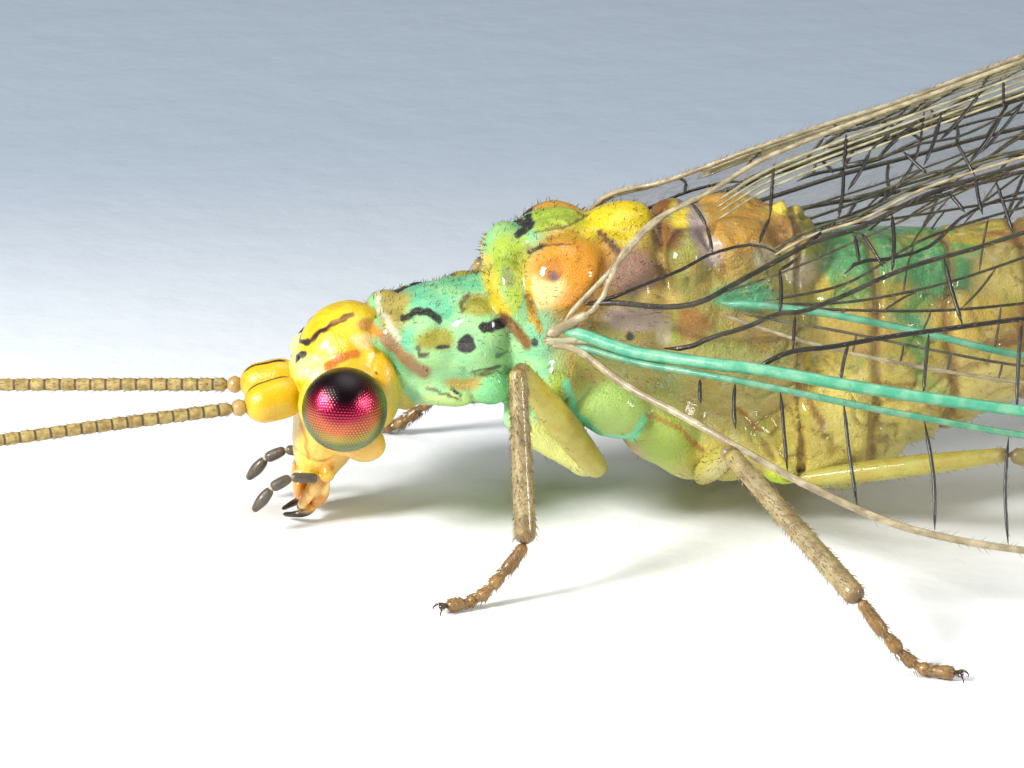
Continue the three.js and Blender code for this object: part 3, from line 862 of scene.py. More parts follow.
PALP_PIECES = [
    # from, to, radius at its root, middle and tip
    ((-1.8, 0.33, 0.5), (-2.05, 0.36, 0.53), (0.042, 0.048, 0.044)),
    ((-2.045, 0.36, 0.53), (-2.235, 0.38, 0.438), (0.04, 0.052, 0.048)),
    ((-2.225, 0.384, 0.44), (-2.4, 0.41, 0.23), (0.04, 0.056, 0.026)),
]
LIP_PIECES = [((-1.9, 0.15, 0.26), (-1.97, 0.2, 0.15), (0.03, 0.042, 0.03))]


def build_mouth():
    amber, grey = mouth_finish(), palp_finish()
    bm = bmesh.new()
    ball(bm, (-1.93, 0, 0.44), (0.09, 0.2, 0.15))
    ball(bm, (-1.96, 0.1, 0.35), (0.06, 0.13, 0.13))
    ball(bm, (-1.72, 0.29, 0.52), (0.075, 0.07, 0.075))
    ball(bm, (-1.78, 0.12, 0.3), (0.1, 0.12, 0.15), 14)
    ball(bm, (-1.86, 0.1, 0.2), (0.06, 0.08, 0.1))
    for side in SIDES.values():
        lobe = [(-1.75, 0.25, 0.52), (-1.83, 0.25, 0.4), (-1.93, 0.22, 0.22), (-1.96, 0.2, 0.16)]
        path = smooth_path([on_side(p, side) for p in lobe], 12)
        tube(bm, path, lambda s: 0.062 - 0.02 * abs(2 * s - 0.8), 14)
        lobe = [(-1.72, 0.2, 0.46), (-1.76, 0.19, 0.3), (-1.84, 0.17, 0.18)]
        path = smooth_path([on_side(p, side) for p in lobe], 12)
        tube(bm, path, 0.05, 14)
        jaw = [(-1.82, 0.18, 0.2), (-1.9, 0.18, 0.12), (-2.0, 0.14, 0.085), (-2.11, 0.06, 0.06)]
        path = smooth_path([on_side(p, side) for p in jaw], 12)
        tube(bm, path, lambda s: 0.052 * (1 - 0.65 * s), 12)
    finish_piece(melt(bm, 0.0085, 2), "mouthparts_skin", amber, ["mouthparts"])
    for label, side in SIDES.items():
        bm = bmesh.new()
        core = [on_side(piece[0], side) for piece in PALP_PIECES]
        core.append(on_side(PALP_PIECES[-1][1], side))
        tube(bm, smooth_path(core[1:], 24), 0.027, 12, layers={"joint": lambda s: 1})
        for start, end, radii in PALP_PIECES + LIP_PIECES:
            path = smooth_path([on_side(start, side), on_side(end, side)], 20)
            sizes = evenly(radii)
            joint = lambda s: max(0, 1 - 8 * min(s, 1 - s))
            tube(bm, path, lambda s, sizes=sizes: read(sizes, s), 14,
                 layers={"joint": joint})
        close(bm)
        finish_piece(bm, f"palp_{label}_skin", grey, [f"palp_{label}"])


# Thorax and abdomen

PROTHORAX = [
    (-1.32, 1.6, 0.34, 0.4),
    (-1.05, 1.6, 0.48, 0.48),
    (-0.8, 1.62, 0.55, 0.54),
    (-0.45, 1.66, 0.58, 0.58),
    (-0.1, 1.7, 0.6, 0.64),
]
MESOTHORAX = [
    (-0.12, 1.8, 0.62, 0.74),
    (0.2, 1.88, 0.82, 0.86),
    (0.7, 1.9, 0.9, 0.9),
    (1.35, 1.9, 0.84, 0.94),
]
METATHORAX = [
    (1.15, 1.86, 0.8, 0.94),
    (1.7, 1.8, 0.84, 1.04),
    (2.2, 1.75, 0.84, 1.06),
    (2.7, 1.66, 0.8, 1.0),
]
ABDOMEN_RINGS = 8
BODY_VOXEL = 0.027
ABDOMEN = [
    (2.4, 1.6, 0.74, 0.95),
    (3.1, 1.47, 0.84, 1.1),
    (3.7, 1.55, 0.84, 0.98),
    (4.6, 1.78, 0.82, 0.84),
    (5.6, 1.92, 0.76, 0.74),
    (6.9, 2.08, 0.62, 0.6),
    (7.8, 2.18, 0.44, 0.44),
    (8.15, 2.24, 0.2, 0.2),
]


def body_skin():
    """The thorax, its hips and the abdomen, melted into one skin."""
    bm = bmesh.new()
    trunk(bm, PROTHORAX, square=2.0)
    # the saddle of the prothorax: its slanting front rim, side shields and raised hind edge
    ball(bm, (-1.12, 0.3, 1.86), (0.2, 0.26, 0.2), -30)
    ball(bm, (-0.8, 0.42, 1.78), (0.36, 0.22, 0.3), -8)
    ball(bm, (-0.36, 0.44, 1.8), (0.32, 0.24, 0.38), -10)
    ball(bm, (-0.6, 0, 2.02), (0.62, 0.4, 0.2), -9)
    # lobes beside and below it, over the front hips
    ball(bm, (-0.62, 0.38, 1.32), (0.3, 0.22, 0.14), 6)
    ball(bm, (-0.24, 0.44, 1.4), (0.2, 0.22, 0.2))
    trunk(bm, MESOTHORAX)
    # front lobes, the big side bulges, the scutum and the scutellum
    ball(bm, (-0.02, 0.0, 2.42), (0.24, 0.42, 0.34), -12)
    ball(bm, (-0.02, 0.42, 2.2), (0.2, 0.32, 0.38), -20)
    ball(bm, (0.44, 0.5, 2.34), (0.44, 0.38, 0.44))
    ball(bm, (0.36, 0.14, 2.6), (0.4, 0.3, 0.24), -8)
    ball(bm, (0.98, 0.0, 2.64), (0.4, 0.34, 0.28), -8)
    ball(bm, (0.84, 0.34, 2.5), (0.32, 0.26, 0.26))
    # the ear-shaped plate over the middle hip, and the plates round it
    ball(bm, (0.82, 0.7, 1.22), (0.42, 0.22, 0.27), 24)
    ball(bm, (0.34, 0.66, 1.5), (0.26, 0.3, 0.4), 30)
    ball(bm, (1.0, 0.62, 1.8), (0.34, 0.24, 0.36))
    trunk(bm, METATHORAX, square=2.0)
    ball(bm, (1.5, 0.4, 2.46), (0.26, 0.36, 0.34))
    ball(bm, (2.02, 0.34, 2.5), (0.42, 0.36, 0.38), 6)
    ball(bm, (2.45, 0.2, 2.42), (0.34, 0.4, 0.36), 10)
    ball(bm, (1.62, 0.64, 1.95), (0.34, 0.22, 0.3))
    ball(bm, (2.2, 0.62, 2.0), (0.36, 0.24, 0.34))
    ball(bm, (1.36, 0.5, 1.0), (0.46, 0.34, 0.42), 20)
    ball(bm, (1.95, 0.48, 0.82), (0.56, 0.38, 0.42), 8)
    ball(bm, (2.9, 0.42, 0.86), (0.72, 0.46, 0.6))
    for name, leg in LEGS.items():
        for side in SIDES.values():
            path = smooth_path([on_side(p, side) for p in (leg["hip"], leg["turn"])], 10)
            tube(bm, path, lambda s, name=name: read(HIP_RADII[name], s), 14)
    trunk(bm, ABDOMEN, sides=44, steps=110, square=2.1)
    ball(bm, (8.05, 0.1, 2.12), (0.2, 0.14, 0.22))
    return melt(bm, BODY_VOXEL, 12)


BODY_GROOVES = [
    # points, width, depth
    ([(-0.14, 0.0, 2.4), (-0.12, 0.4, 2.3), (-0.1, 0.62, 2.0), (0.05, 0.8, 1.72)], 0.045, 0.08),
    ([(-1.0, 0.56, 1.5), (-0.7, 0.62, 1.46), (-0.3, 0.62, 1.54), (-0.05, 0.66, 1.62)], 0.03, 0.05),
    ([(-0.5, 0.6, 1.6), (-0.44, 0.6, 1.4), (-0.4, 0.5, 1.2)], 0.025, 0.03),
    ([(-0.72, 0.0, 2.3), (-0.68, 0.4, 2.1), (-0.74, 0.6, 1.9)], 0.05, 0.02),
    ([(0.12, 0.15, 2.75), (0.12, 0.4, 2.6), (0.08, 0.7, 2.3), (0.2, 0.85, 1.9)], 0.03, 0.06),
    ([(0.2, 0.1, 2.9), (0.5, 0.32, 2.76), (0.8, 0.3, 2.82)], 0.025, 0.03),
    ([(0.72, 0.3, 2.8), (0.82, 0.55, 2.6), (0.92, 0.75, 2.3)], 0.035, 0.05),
    ([(1.3, 0.0, 2.85), (1.3, 0.45, 2.65), (1.3, 0.8, 2.3), (1.26, 0.9, 1.7)], 0.05, 0.08),
    ([(1.5, 0.5, 2.75), (1.46, 0.7, 2.5), (1.56, 0.8, 2.3), (1.7, 0.75, 2.3)], 0.03, 0.04),
    ([(1.75, 0.3, 2.85), (1.8, 0.6, 2.6), (1.9, 0.85, 2.2)], 0.04, 0.05),
    ([(2.4, 0.2, 2.8), (2.44, 0.6, 2.5), (2.5, 0.85, 2.1)], 0.04, 0.05),
    ([(1.3, 0.8, 2.0), (1.7, 0.86, 1.86), (2.2, 0.86, 1.84), (2.6, 0.8, 1.9)], 0.04, 0.05),
    ([(0.4, 0.9, 1.42), (0.42, 0.9, 1.2), (0.66, 0.9, 0.98), (1.0, 0.85, 0.92), (1.16, 0.8, 1.1)],
     0.025, 0.05),
    ([(1.16, 0.85, 1.3), (1.4, 0.8, 1.15), (1.62, 0.75, 0.9)], 0.025, 0.04),
    ([(2.0, 0.85, 1.4), (2.1, 0.85, 1.1), (2.3, 0.8, 0.7)], 0.035, 0.05),
    ([(2.4, 0.85, 1.5), (3.0, 0.95, 1.2), (3.6, 0.85, 1.15)], 0.04, 0.05),
]


def body_height(place):
    """Soft swellings, broad on the abdomen and faint on the thorax."""
    height = 0.012 * noise.noise(place * 3) + 0.006 * noise.noise(place * 9)
    soft = min(max(place.x - 1.4, 0), 1)
    lumps = Vector((place.x * 2.6, place.y * 1.8, place.z * 2.2))
    return height + soft * (0.06 * noise.noise(lumps) + 0.025 * noise.noise(place * 5.5))


def body_grooves(place):
    """Sutures of the thorax, ring joints and side fold of the abdomen, and fine folds."""
    depth = grooves_of(BODY_GROOVES, place) if place.x < 3.8 else 0.0
    soft = min(max(place.x - 1.4, 0), 1)
    winding = abs(noise.noise(place * 1.9) + 0.35 * noise.noise(place * 5))
    depth += soft * 0.035 * math.exp(-((winding / 0.035) ** 2))
    if place.x > 2.5:
        share = (place.x - 2.5) / (ABDOMEN[-1][0] - 2.5) * ABDOMEN_RINGS
        share += 0.12 * noise.noise(place * 1.3)
        gap = abs(share - round(share))
        middle = read(ABDOMEN, min(place.x, ABDOMEN[-1][0]), 1)
        fold = abs(place.z - middle + 0.12 + 0.15 * noise.noise(place * 1.5)) / 0.06
        depth += 0.07 * math.exp(-((gap / 0.07) ** 2))
        depth += 0.05 * math.exp(-(fold**2)) * (0.6 + 0.4 * math.sin(share * TURN))
    return depth


def skin_base(name, **fixed):
    finish = Finish(name, Subsurface_Weight=0.15, Subsurface_Scale=0.00012, **fixed)
    finish.shader.inputs["Subsurface Radius"].default_value = (0.9, 0.8, 0.4)
    return finish


YELLOW_GREEN = (0.33, 0.44, 0.03)
MINT = (0.17, 0.53, 0.2)
TEAL = (0.06, 0.36, 0.14)
YELLOW = (0.7, 0.52, 0.0)
AMBER = (0.6, 0.24, 0.0)
BROWN = (0.22, 0.08, 0.004)
MAUVE = (0.3, 0.16, 0.1)
PALE = (0.62, 0.52, 0.3)
OLIVE = (0.3, 0.28, 0.02)
KHAKI = (0.4, 0.32, 0.06)
BODY_ZONES = [
    # middle and radii on the flank, colour
    ((-1.06, 0.66), (0.14, 0.26), KHAKI),
    ((-0.56, -0.17), (0.28, 0.1), (0.46, 0.68, 0.2)),
    ((-0.43, 0.01), (0.18, 0.07), (0.4, 0.3, 0.05)),
    ((-0.16, -0.1), (0.17, 0.16), MINT),
    ((-0.69, 0.4), (0.18, 0.1), OLIVE),
    ((-0.3, 0.7), (0.15, 0.11), OLIVE),
    ((-0.04, 1.1), (0.2, 0.3), YELLOW_GREEN),
    ((0.0, 0.74), (0.08, 0.15), YELLOW_GREEN),
    ((-0.05, 0.95), (0.06, 0.1), (0.2, 0.24, 0.06)),
    ((0.45, 1.46), (0.3, 0.12), YELLOW_GREEN),
    ((0.54, 1.0), (0.42, 0.38), AMBER),
    # painted sheen: a pale highlight laid as colour on the side of the mesothorax
    ((0.3, 0.84), (0.17, 0.15), (0.76, 0.6, 0.22)),
    ((0.34, 1.02), (0.11, 0.11), (0.44, 0.16, 0.0)),
    ((0.97, 1.47), (0.36, 0.22), YELLOW),
    ((1.09, 0.98), (0.24, 0.22), MAUVE),
    ((1.4, 1.34), (0.12, 0.13), BROWN),
    ((1.53, 1.5), (0.09, 0.1), YELLOW),
    ((1.66, 1.43), (0.1, 0.16), (0.3, 0.22, 0.2)),
    ((1.78, 1.2), (0.13, 0.13), (0.6, 0.48, 0.4)),
    ((2.02, 1.45), (0.28, 0.26), (0.5, 0.25, 0.01)),
    ((1.98, 1.76), (0.32, 0.1), (0.5, 0.42, 0.03)),
    ((2.48, 1.64), (0.18, 0.17), (0.8, 0.6, 0.04)),
    ((2.42, 1.36), (0.2, 0.15), (0.42, 0.2, 0.02)),
    ((2.25, 1.14), (0.11, 0.12), PALE),
    ((2.62, 1.02), (0.17, 0.14), PALE),
    ((1.33, 0.76), (0.2, 0.1), (0.66, 0.46, 0.1)),
    ((1.09, 0.58), (0.27, 0.12), (0.5, 0.36, 0.28)),
    ((1.38, 0.46), (0.08, 0.12), PALE),
    ((1.48, 0.49), (0.05, 0.12), YELLOW_GREEN),
    ((1.62, 0.53), (0.17, 0.1), (0.36, 0.16, 0.01)),
    ((2.07, 0.78), (0.3, 0.12), TEAL),
    ((0.35, -0.6), (0.36, 0.34), (0.6, 0.6, 0.16)),
    ((0.86, -0.22), (0.36, 0.25), (0.42, 0.6, 0.14)),
    ((0.42, -0.1), (0.12, 0.2), YELLOW_GREEN),
    ((1.38, -0.5), (0.32, 0.24), (0.36, 0.48, 0.06)),
    ((1.05, -0.66), (0.13, 0.14), (0.52, 0.36, 0.16)),
    ((1.9, -0.2), (0.4, 0.24), KHAKI),
    ((2.0, -0.66), (0.4, 0.2), (0.58, 0.46, 0.06)),
    ((2.6, -0.5), (0.34, 0.3), (0.58, 0.46, 0.05)),
    ((3.18, 1.17), (0.42, 0.26), (0.06, 0.3, 0.08)),
    ((3.39, 0.55), (0.38, 0.1), TEAL),
    ((4.0, 0.92), (0.24, 0.24), (0.07, 0.2, 0.06)),
    ((4.28, 0.92), (0.17, 0.24), (0.5, 0.38, 0.08)),
    ((4.3, 0.03), (0.5, 0.24), (0.7, 0.55, 0.14)),
    ((3.05, -0.48), (0.4, 0.3), (0.5, 0.38, 0.04)),
    ((2.43, -0.86), (0.13, 0.1), (0.5, 0.62, 0.01)),
    ((3.8, 1.04), (0.3, 0.25), (0.06, 0.3, 0.08)),
    ((3.1, 0.5), (0.4, 0.2), (0.62, 0.42, 0.06)),
    ((3.2, -0.2), (0.5, 0.4), (0.64, 0.52, 0.1)),
    ((4.1, 0.6), (0.4, 0.22), (0.62, 0.42, 0.05)),
    ((4.5, 1.0), (0.3, 0.2), (0.7, 0.55, 0.12)),
]
BODY_LINES = [
    # points on the flank, half width, colour
    ([(-1.16, 0.44), (-0.97, 0.24), (-0.79, 0.1)], 0.06, (0.3, 0.17, 0.06)),
    ([(-1.31, 0.56), (-1.22, 0.46)], 0.05, (0.5, 0.22, 0.01)),
    ([(-1.27, 0.76), (-1.13, 0.6), (-1.02, 0.4)], 0.026, (0.6, 0.56, 0.38)),
    ([(-0.24, 1.11), (-0.18, 0.86), (-0.06, 0.6)], 0.06, (0.6, 0.45, 0.01)),
    ([(-0.08, 0.6), (0.06, 0.46), (0.14, 0.36)], 0.05, (0.2, 0.09, 0.01)),
    ([(0.14, 0.9), (0.18, 0.6), (0.24, 0.5)], 0.03, (0.7, 0.36, 0.01)),
    ([(0.48, 0.01), (0.57, -0.26), (0.81, -0.48), (1.09, -0.48), (1.21, -0.28)], 0.034,
     (0.16, 0.66, 0.34)),
    ([(1.21, -0.28), (1.48, -0.38), (1.72, -0.6)], 0.022, (0.36, 0.18, 0.01)),
    ([(0.79, 1.36), (0.97, 1.16)], 0.034, (0.1, 0.035, 0.0)),
    ([(0.2, 1.36), (0.5, 1.41), (0.69, 1.54)], 0.012, (0.14, 0.12, 0.01)),
    ([(0.52, 0.53), (0.56, 0.5)], 0.06, (0.2, 0.08, 0.02)),
    ([(0.36, 0.42), (0.4, 0.38)], 0.06, (0.12, 0.08, 0.05)),
    ([(0.37, 0.96), (0.37, 0.95)], 0.045, (0.16, 0.07, 0.06)),
    ([(-0.39, 0.8), (-0.46, 0.73), (-0.44, 0.65)], 0.022, (0.13, 0.1, 0.01)),
    ([(-0.845, 0.33), (-0.82, 0.26), (-0.76, 0.25)], 0.02, (0.08, 0.07, 0.02)),
    ([(-0.14, 0.25), (-0.05, 0.29)], 0.018, (0.1, 0.2, 0.12)),
    ([(-0.36, 0.11), (-0.11, 0.155)], 0.012, (0.06, 0.08, 0.04)),
    ([(-0.77, -0.03), (-0.61, -0.09), (-0.46, -0.14)], 0.014, (0.12, 0.08, 0.05)),
    ([(0.28, 1.24), (0.52, 1.25)], 0.012, (0.14, 0.08, 0.01)),
    ([(2.68, -0.15), (2.81, -0.4)], 0.03, (0.32, 0.15, 0.01)),
    ([(2.03, -0.22), (2.23, -0.42)], 0.022, (0.32, 0.14, 0.01)),
    ([(1.66, 1.36), (1.76, 1.2)], 0.03, (0.2, 0.14, 0.14)),
]
BODY_MARKS = [
    # points on the flank, half width
    ([(-0.54, -0.04), (-0.46, -0.09)], 0.016),
    ([(-0.355, -0.16), (-0.35, -0.17)], 0.012),
    ([(-0.97, 0.59), (-0.86, 0.655), (-0.76, 0.655), (-0.65, 0.575)], 0.034),
    ([(-0.44, 0.34), (-0.38, 0.34), (-0.4, 0.39)], 0.06),
    ([(-0.67, 0.33), (-0.58, 0.345)], 0.022),
    ([(-0.24, 0.5), (-0.1, 0.545)], 0.054),
    ([(-0.91, 0.86), (-0.64, 0.93), (-0.43, 0.95)], 0.01),
    ([(0.05, 1.34), (0.17, 1.44)], 0.036),
    ([(0.16, 1.18), (0.28, 1.24)], 0.022),
    ([(1.05, 0.43), (1.06, 0.42)], 0.04),
    ([(0.2, 0.38), (0.21, 0.36)], 0.028),
]


def body_finish():
    """Mint and lime plates with dark marks, amber behind, and a mottled, moist abdomen."""
    finish = skin_base("body_skin", Roughness=0.3, Coat_Weight=0.5)
    finish.shader.inputs["Coat Roughness"].default_value = 0.1
    place = finish.place()
    x, y, z = finish.parts(place)
    soft = finish.ragged(place, 1.6, 0.7)
    cloud = finish.noise(place, 2.6, 5.0)
    patch = finish.noise(soft, 2.4, 3.0)
    mint = finish.mix(finish.step(cloud, 0.32, 0.68), (0.11, 0.46, 0.24), (0.34, 0.62, 0.24))
    amber = finish.mix(finish.step(cloud, 0.35, 0.65), (0.4, 0.24, 0.03), (0.34, 0.34, 0.05))
    rear = finish.mix(cloud, (0.4, 0.29, 0.01), (0.58, 0.45, 0.05))
    rear = finish.mix(finish.step(patch, 0.52, 0.6) * 0.85, rear, (0.1, 0.34, 0.05))
    rear = finish.mix(finish.step(patch, 0.46, 0.38) * 0.9, rear, (0.32, 0.13, 0.005))
    color = finish.mix(finish.step(x, 0.1, 0.5), mint, amber)
    color = finish.mix(finish.step(x, 2.2, 2.8), color, rear)
    color = finish.mix(finish.step(z, 1.1, 0.7) * 0.8, color, (0.52, 0.5, 0.12))
    color = finish.painted(color, 0.03 * finish.noise(place, 22.0, 3.0) - 0.015)
    dark = finish.step(finish.noise(soft, 3.6, 4.0), 0.6, 0.72) * finish.step(x, 1.2, 2.4)
    color = finish.mix(dark * 0.7, color, (0.16, 0.08, 0.01))
    fleck = finish.step(finish.noise(place, 24.0, 4.0), 0.58, 0.72)
    color = finish.mix(fleck * 0.3, color, (0.3, 0.24, 0.03))
    milky = finish.step(finish.noise(place, 9.0, 4.0), 0.56, 0.74) * finish.step(x, 1.2, 2.6)
    color = finish.mix(milky * 0.4, color, (0.72, 0.66, 0.38))
    # painted shade: the skin darkens down in its grooves, by the depth kept in the crease layer
    color = finish.mix(finish.step(finish.attribute("crease"), 0.15, 0.9) * 0.6, color, GROOVE_SHADE)
    fine = finish.noise(place, 60.0, 3.0)
    wet = finish.noise(place, 7.0, 5.0)
    moist = finish.step(x, 1.0, 1.8) * 0.6 + 0.4
    rough = fine * 0.25 + wet * moist
    finish.set(Base_Color=color, Normal=finish.bump(rough, 0.075))
    return finish.set(Roughness=0.22 + 0.3 * cloud)


def build_body():
    bm = body_skin()
    relief(bm, body_height, body_grooves)
    nodes = ["prothorax", "mesothorax", "metathorax", "abdomen"]
    nodes += [f"{leg}_{label}_coxa" for leg in LEGS for label in SIDES]
    roots, directions = sown(bm, 2600, body_hair_share)
    lengths = rng.uniform(0.035, 0.075, len(roots))
    for name, dark, slot in (("thorax", True, "mesothorax"), ("abdomen", False, "abdomen")):
        chosen = [i for i, root in enumerate(roots) if (root.x < 1.4) == dark]
        mesh = hairs(
            [roots[i] for i in chosen], [directions[i] for i in chosen], lengths[chosen], 0.006, 0.2
        )
        finish_mesh(mesh, f"{name}_hairs", BLACK_HAIR if dark else TAN_HAIR)
    marking = (BODY_ZONES, BODY_LINES, BODY_MARKS)
    finish_piece(bm, "body_skin", body_finish(), nodes, marking=marking)


def body_hair_share(place):
    """How likely a hair is to grow at a place of the body: most on the front of the back."""
    if place.x > 1.4:
        return 0.3
    return 0.12 if place.z < 1.5 else 0.5 + 0.5 * (place.z > 2)


# Legs

LEGS = {
    "front": {
        "hip": (-0.1, 0.42, 1.2),
        "turn": (0.74, 0.6, 0.56),
        "knee": (-0.11, 1.5, 1.92),
        "ankle": (-0.11, 2.2, 0.52),
        "toe": (-0.84, 2.46, 0.07),
        "right_foot": (-0.35, -0.3, 0),
        "thigh": 1.0,
    },
    "middle": {
        "hip": (1.15, 0.5, 1.05),
        "turn": (1.66, 0.64, 0.5),
        "knee": (1.65, 2.42, 1.4),
        "ankle": (2.56, 4.05, 0.62),
        "toe": (3.34, 4.43, 0.07),
        "right_foot": (-0.2, 0, 0),
        "thigh": 0.85,
    },
    "hind": {
        "hip": (2.02, 0.46, 0.98),
        "turn": (2.5, 0.72, 0.46),
        "knee": (4.3, 1.58, 0.96),
        "ankle": (7.15, 2.25, 0.42),
        "toe": (8.1, 2.45, 0.07),
        "right_foot": (0.3, 0.1, 0),
        "thigh": 0.7,
    },
}
HIP_RADII = {
    "front": evenly([0.2, 0.2, 0.17, 0.13]),
    "middle": evenly([0.26, 0.25, 0.2, 0.14]),
    "hind": evenly([0.26, 0.25, 0.2, 0.14]),
}
THIGH_RADII = evenly([0.1, 0.13, 0.14, 0.12, 0.09])
SHIN_RADII = evenly([0.075, 0.085, 0.09, 0.095, 0.1])
TOE_SHARES = [0, 0.34, 0.52, 0.68, 0.8, 1]
TOE_STEPS = 100


def leg_joints(leg, side):
    shift = Vector(leg["right_foot"]) if side == RIGHT else Vector()
    joints = [Vector(leg[name]) for name in ("turn", "knee")]
    joints += [Vector(leg[name]) + shift for name in ("ankle", "toe")]
    return [on_side(p, side) for p in joints]


def leg_finish():
    """Legs, pale yellow-green at the thigh and browner to the foot, dark at the joints."""
    finish = Finish("leg_skin", Roughness=0.36, Subsurface_Weight=0.1, Coat_Weight=0.25)
    finish.shader.inputs["Subsurface Scale"].default_value = 0.0001
    down = finish.attribute("down")
    joint = finish.attribute("joint")
    place = finish.place()
    cloud = finish.noise(place, 6.0, 4.0)
    cloud = finish.step(cloud, 0.3, 0.7)
    thigh = finish.mix(cloud, (0.42, 0.32, 0.03), (0.46, 0.42, 0.07))
    shin = finish.mix(cloud, (0.18, 0.12, 0.035), (0.34, 0.26, 0.11))
    foot = finish.mix(cloud, (0.16, 0.075, 0.012), (0.3, 0.16, 0.035))
    color = finish.mix(finish.step(down, 0.8, 1.2), thigh, shin)
    color = finish.mix(finish.step(down, 1.85, 2.1), color, foot)
    color = finish.mix(finish.step(joint, 0.3, 1.0) * 0.8, color, (0.1, 0.05, 0.015))
    fleck = finish.step(finish.noise(place, 34.0, 3.0), 0.56, 0.68)
    color = finish.mix(fleck * finish.step(down, 0.9, 1.2) * 0.6, color, (0.06, 0.035, 0.015))
    fine = finish.noise(place, 60.0, 3.0)
    return finish.set(Base_Color=color, Normal=finish.bump(fine, 0.008))


def claw_finish():
    finish = Finish("claw", Roughness=0.2, Coat_Weight=0.5)
    grain = finish.noise(finish.place(), 20.0)
    return finish.set(Base_Color=finish.mix(grain, (0.01, 0.006, 0.004), (0.08, 0.04, 0.015)))


def toes(ankle, toe):
    """The path of a foot: down from the ankle and flat out to the claws."""
    middle = ankle.lerp(toe, 0.3)
    middle.z = ankle.z * 0.42 + 0.05
    flat = ankle.lerp(toe, 0.62)
    flat.z = 0.085
    return smooth_path([ankle, middle, flat, toe], TOE_STEPS)


def build_legs():
    skin, claw = leg_finish(), claw_finish()
    for leg_name, leg in LEGS.items():
        for label, side in SIDES.items():
            turn, knee, ankle, toe = leg_joints(leg, side)
            bm = bmesh.new()
            coat = []
            part = smooth_path([turn, knee], 50)
            radii = [(share, size * leg["thigh"]) for share, size in THIGH_RADII]
            tube(bm, part, lambda s, radii=radii: read(radii, s), 18, layers=leg_layers(0))
            coat.append((part, radii, 150, 0.045, 0.4))
            part = smooth_path([knee, ankle], 60)
            tube(bm, part, lambda s: read(SHIN_RADII, s), 16, layers=leg_layers(1))
            coat.append((part, SHIN_RADII, 520, 0.055, 0.7))
            foot = toes(ankle, toe)
            tube(bm, foot, 0.038, 12, layers=leg_layers(2))
            for start, end in zip(TOE_SHARES, TOE_SHARES[1:]):
                piece = foot[round(start * TOE_STEPS) : round(end * TOE_STEPS) + 1]
                wide = evenly([0.05, 0.054, 0.062, 0.056])
                radius = lambda s, wide=wide: read(wide, s)
                tube(bm, piece, radius, 12, layers=leg_layers(2))
            coat.append((foot, evenly([0.052, 0.056, 0.052]), 300, 0.05, 0.8))
            close(bm)
            nodes = [f"{leg_name}_{label}_{part}" for part in ("femur", "tibia", "tarsus")]
            finish_piece(bm, f"{leg_name}_{label}_leg", skin, nodes)
            build_claws(f"{leg_name}_{label}_claws", foot, claw)
            build_leg_hairs(f"{leg_name}_{label}_hairs", coat)


def leg_layers(level):
    return {
        "down": lambda s: level + s,
        "joint": lambda s: max(0, 1 - 14 * min(s, 1 - s)),
    }


def build_claws(name, foot, material):
    """Two hooked claws and the pad between them, at the end of a foot."""
    bm = bmesh.new()
    end = foot[-1]
    ahead = (foot[-1] - foot[-12]).normalized()
    across = ahead.cross(Vector((0, 0, 1))).normalized()
    for side in (-1, 1):
        points = [
            end - ahead * 0.02,
            end + ahead * 0.05 + across * side * 0.05 + Vector((0, 0, 0.012)),
            end + ahead * 0.09 + across * side * 0.075 - Vector((0, 0, 0.025)),
            end + ahead * 0.085 + across * side * 0.08 - Vector((0, 0, 0.06)),
        ]
        tube(bm, smooth_path(points, 10), lambda s: 0.022 * (1 - 0.85 * s), 8)
    pad = [end, end + ahead * 0.05, end + ahead * 0.07]
    tube(bm, smooth_path(pad, 6), 0.03, 10)
    close(bm)
    finish_piece(bm, name, material)


def build_leg_hairs(name, coat):
    roots, directions, lengths = [], [], []
    for path, radii, count, length, lean in coat:
        frames = frames_along(path)
        for _ in range(count):
            share = rng.uniform(0.03, 0.98)
            row = share * (len(path) - 1)
            i = min(int(row), len(path) - 2)
            here = path[i].lerp(path[i + 1], row - i)
            ahead = (path[i + 1] - path[i]).normalized()
            across, up = frames[i]
            angle = TURN * rng.random()
            out = math.cos(angle) * across + math.sin(angle) * up
            root = here + out * read(radii, share) * 0.96
            direction = out + ahead * (0.7 + lean)
            if root.z + direction.normalized().z * length < 0.01:
                continue
            roots.append(root)
            directions.append(direction)
            lengths.append(length * rng.uniform(0.7, 1.3))
    mesh = hairs(roots, directions, lengths, 0.0075, 0.15)
    finish_mesh(mesh, name, TAN_HAIR)


# Wings

ROOF = [
    # along the wing, outwards, height, slope in degrees, bulge
    (0, 1.05, 1.99, 62, 0),
    (0.4, 1.26, 1.97, 58, 0.02),
    (0.8, 1.46, 1.95, 46, 0.06),
    (1.3, 1.74, 1.91, 43, 0.1),
    (2.7, 2.22, 1.72, 46, 0.18),
    (4.2, 2.5, 1.56, 50.5, 0.2),
    (6, 2.7, 1.5, 53.5, 0.2),
    (8, 2.75, 1.5, 56.5, 0.16),
    (10, 2.6, 1.55, 57.8, 0.1),
    (12, 2.2, 1.65, 57, 0.06),
    (14, 1.5, 1.8, 55, 0.02),
    (15.2, 1.0, 1.95, 55, 0),
]
FOREWING = [
    # along the wing, front margin and hind margin above the radius
    (0, -0.08, 0.3),
    (0.34, -0.3, 0.72),
    (0.84, -0.56, 1.4),
    (1.3, -0.78, 1.82),
    (1.8, -0.98, 2.26),
    (2.7, -1.2, 2.8),
    (4.2, -1.2, 3.5),
    (6, -1.08, 4.2),
    (8, -0.92, 4.6),
    (10, -0.82, 4.5),
    (12, -0.7, 3.76),
    (13.6, -0.56, 2.6),
    (14.8, -0.34, 1.15),
    (15.2, -0.06, 0.24),
]
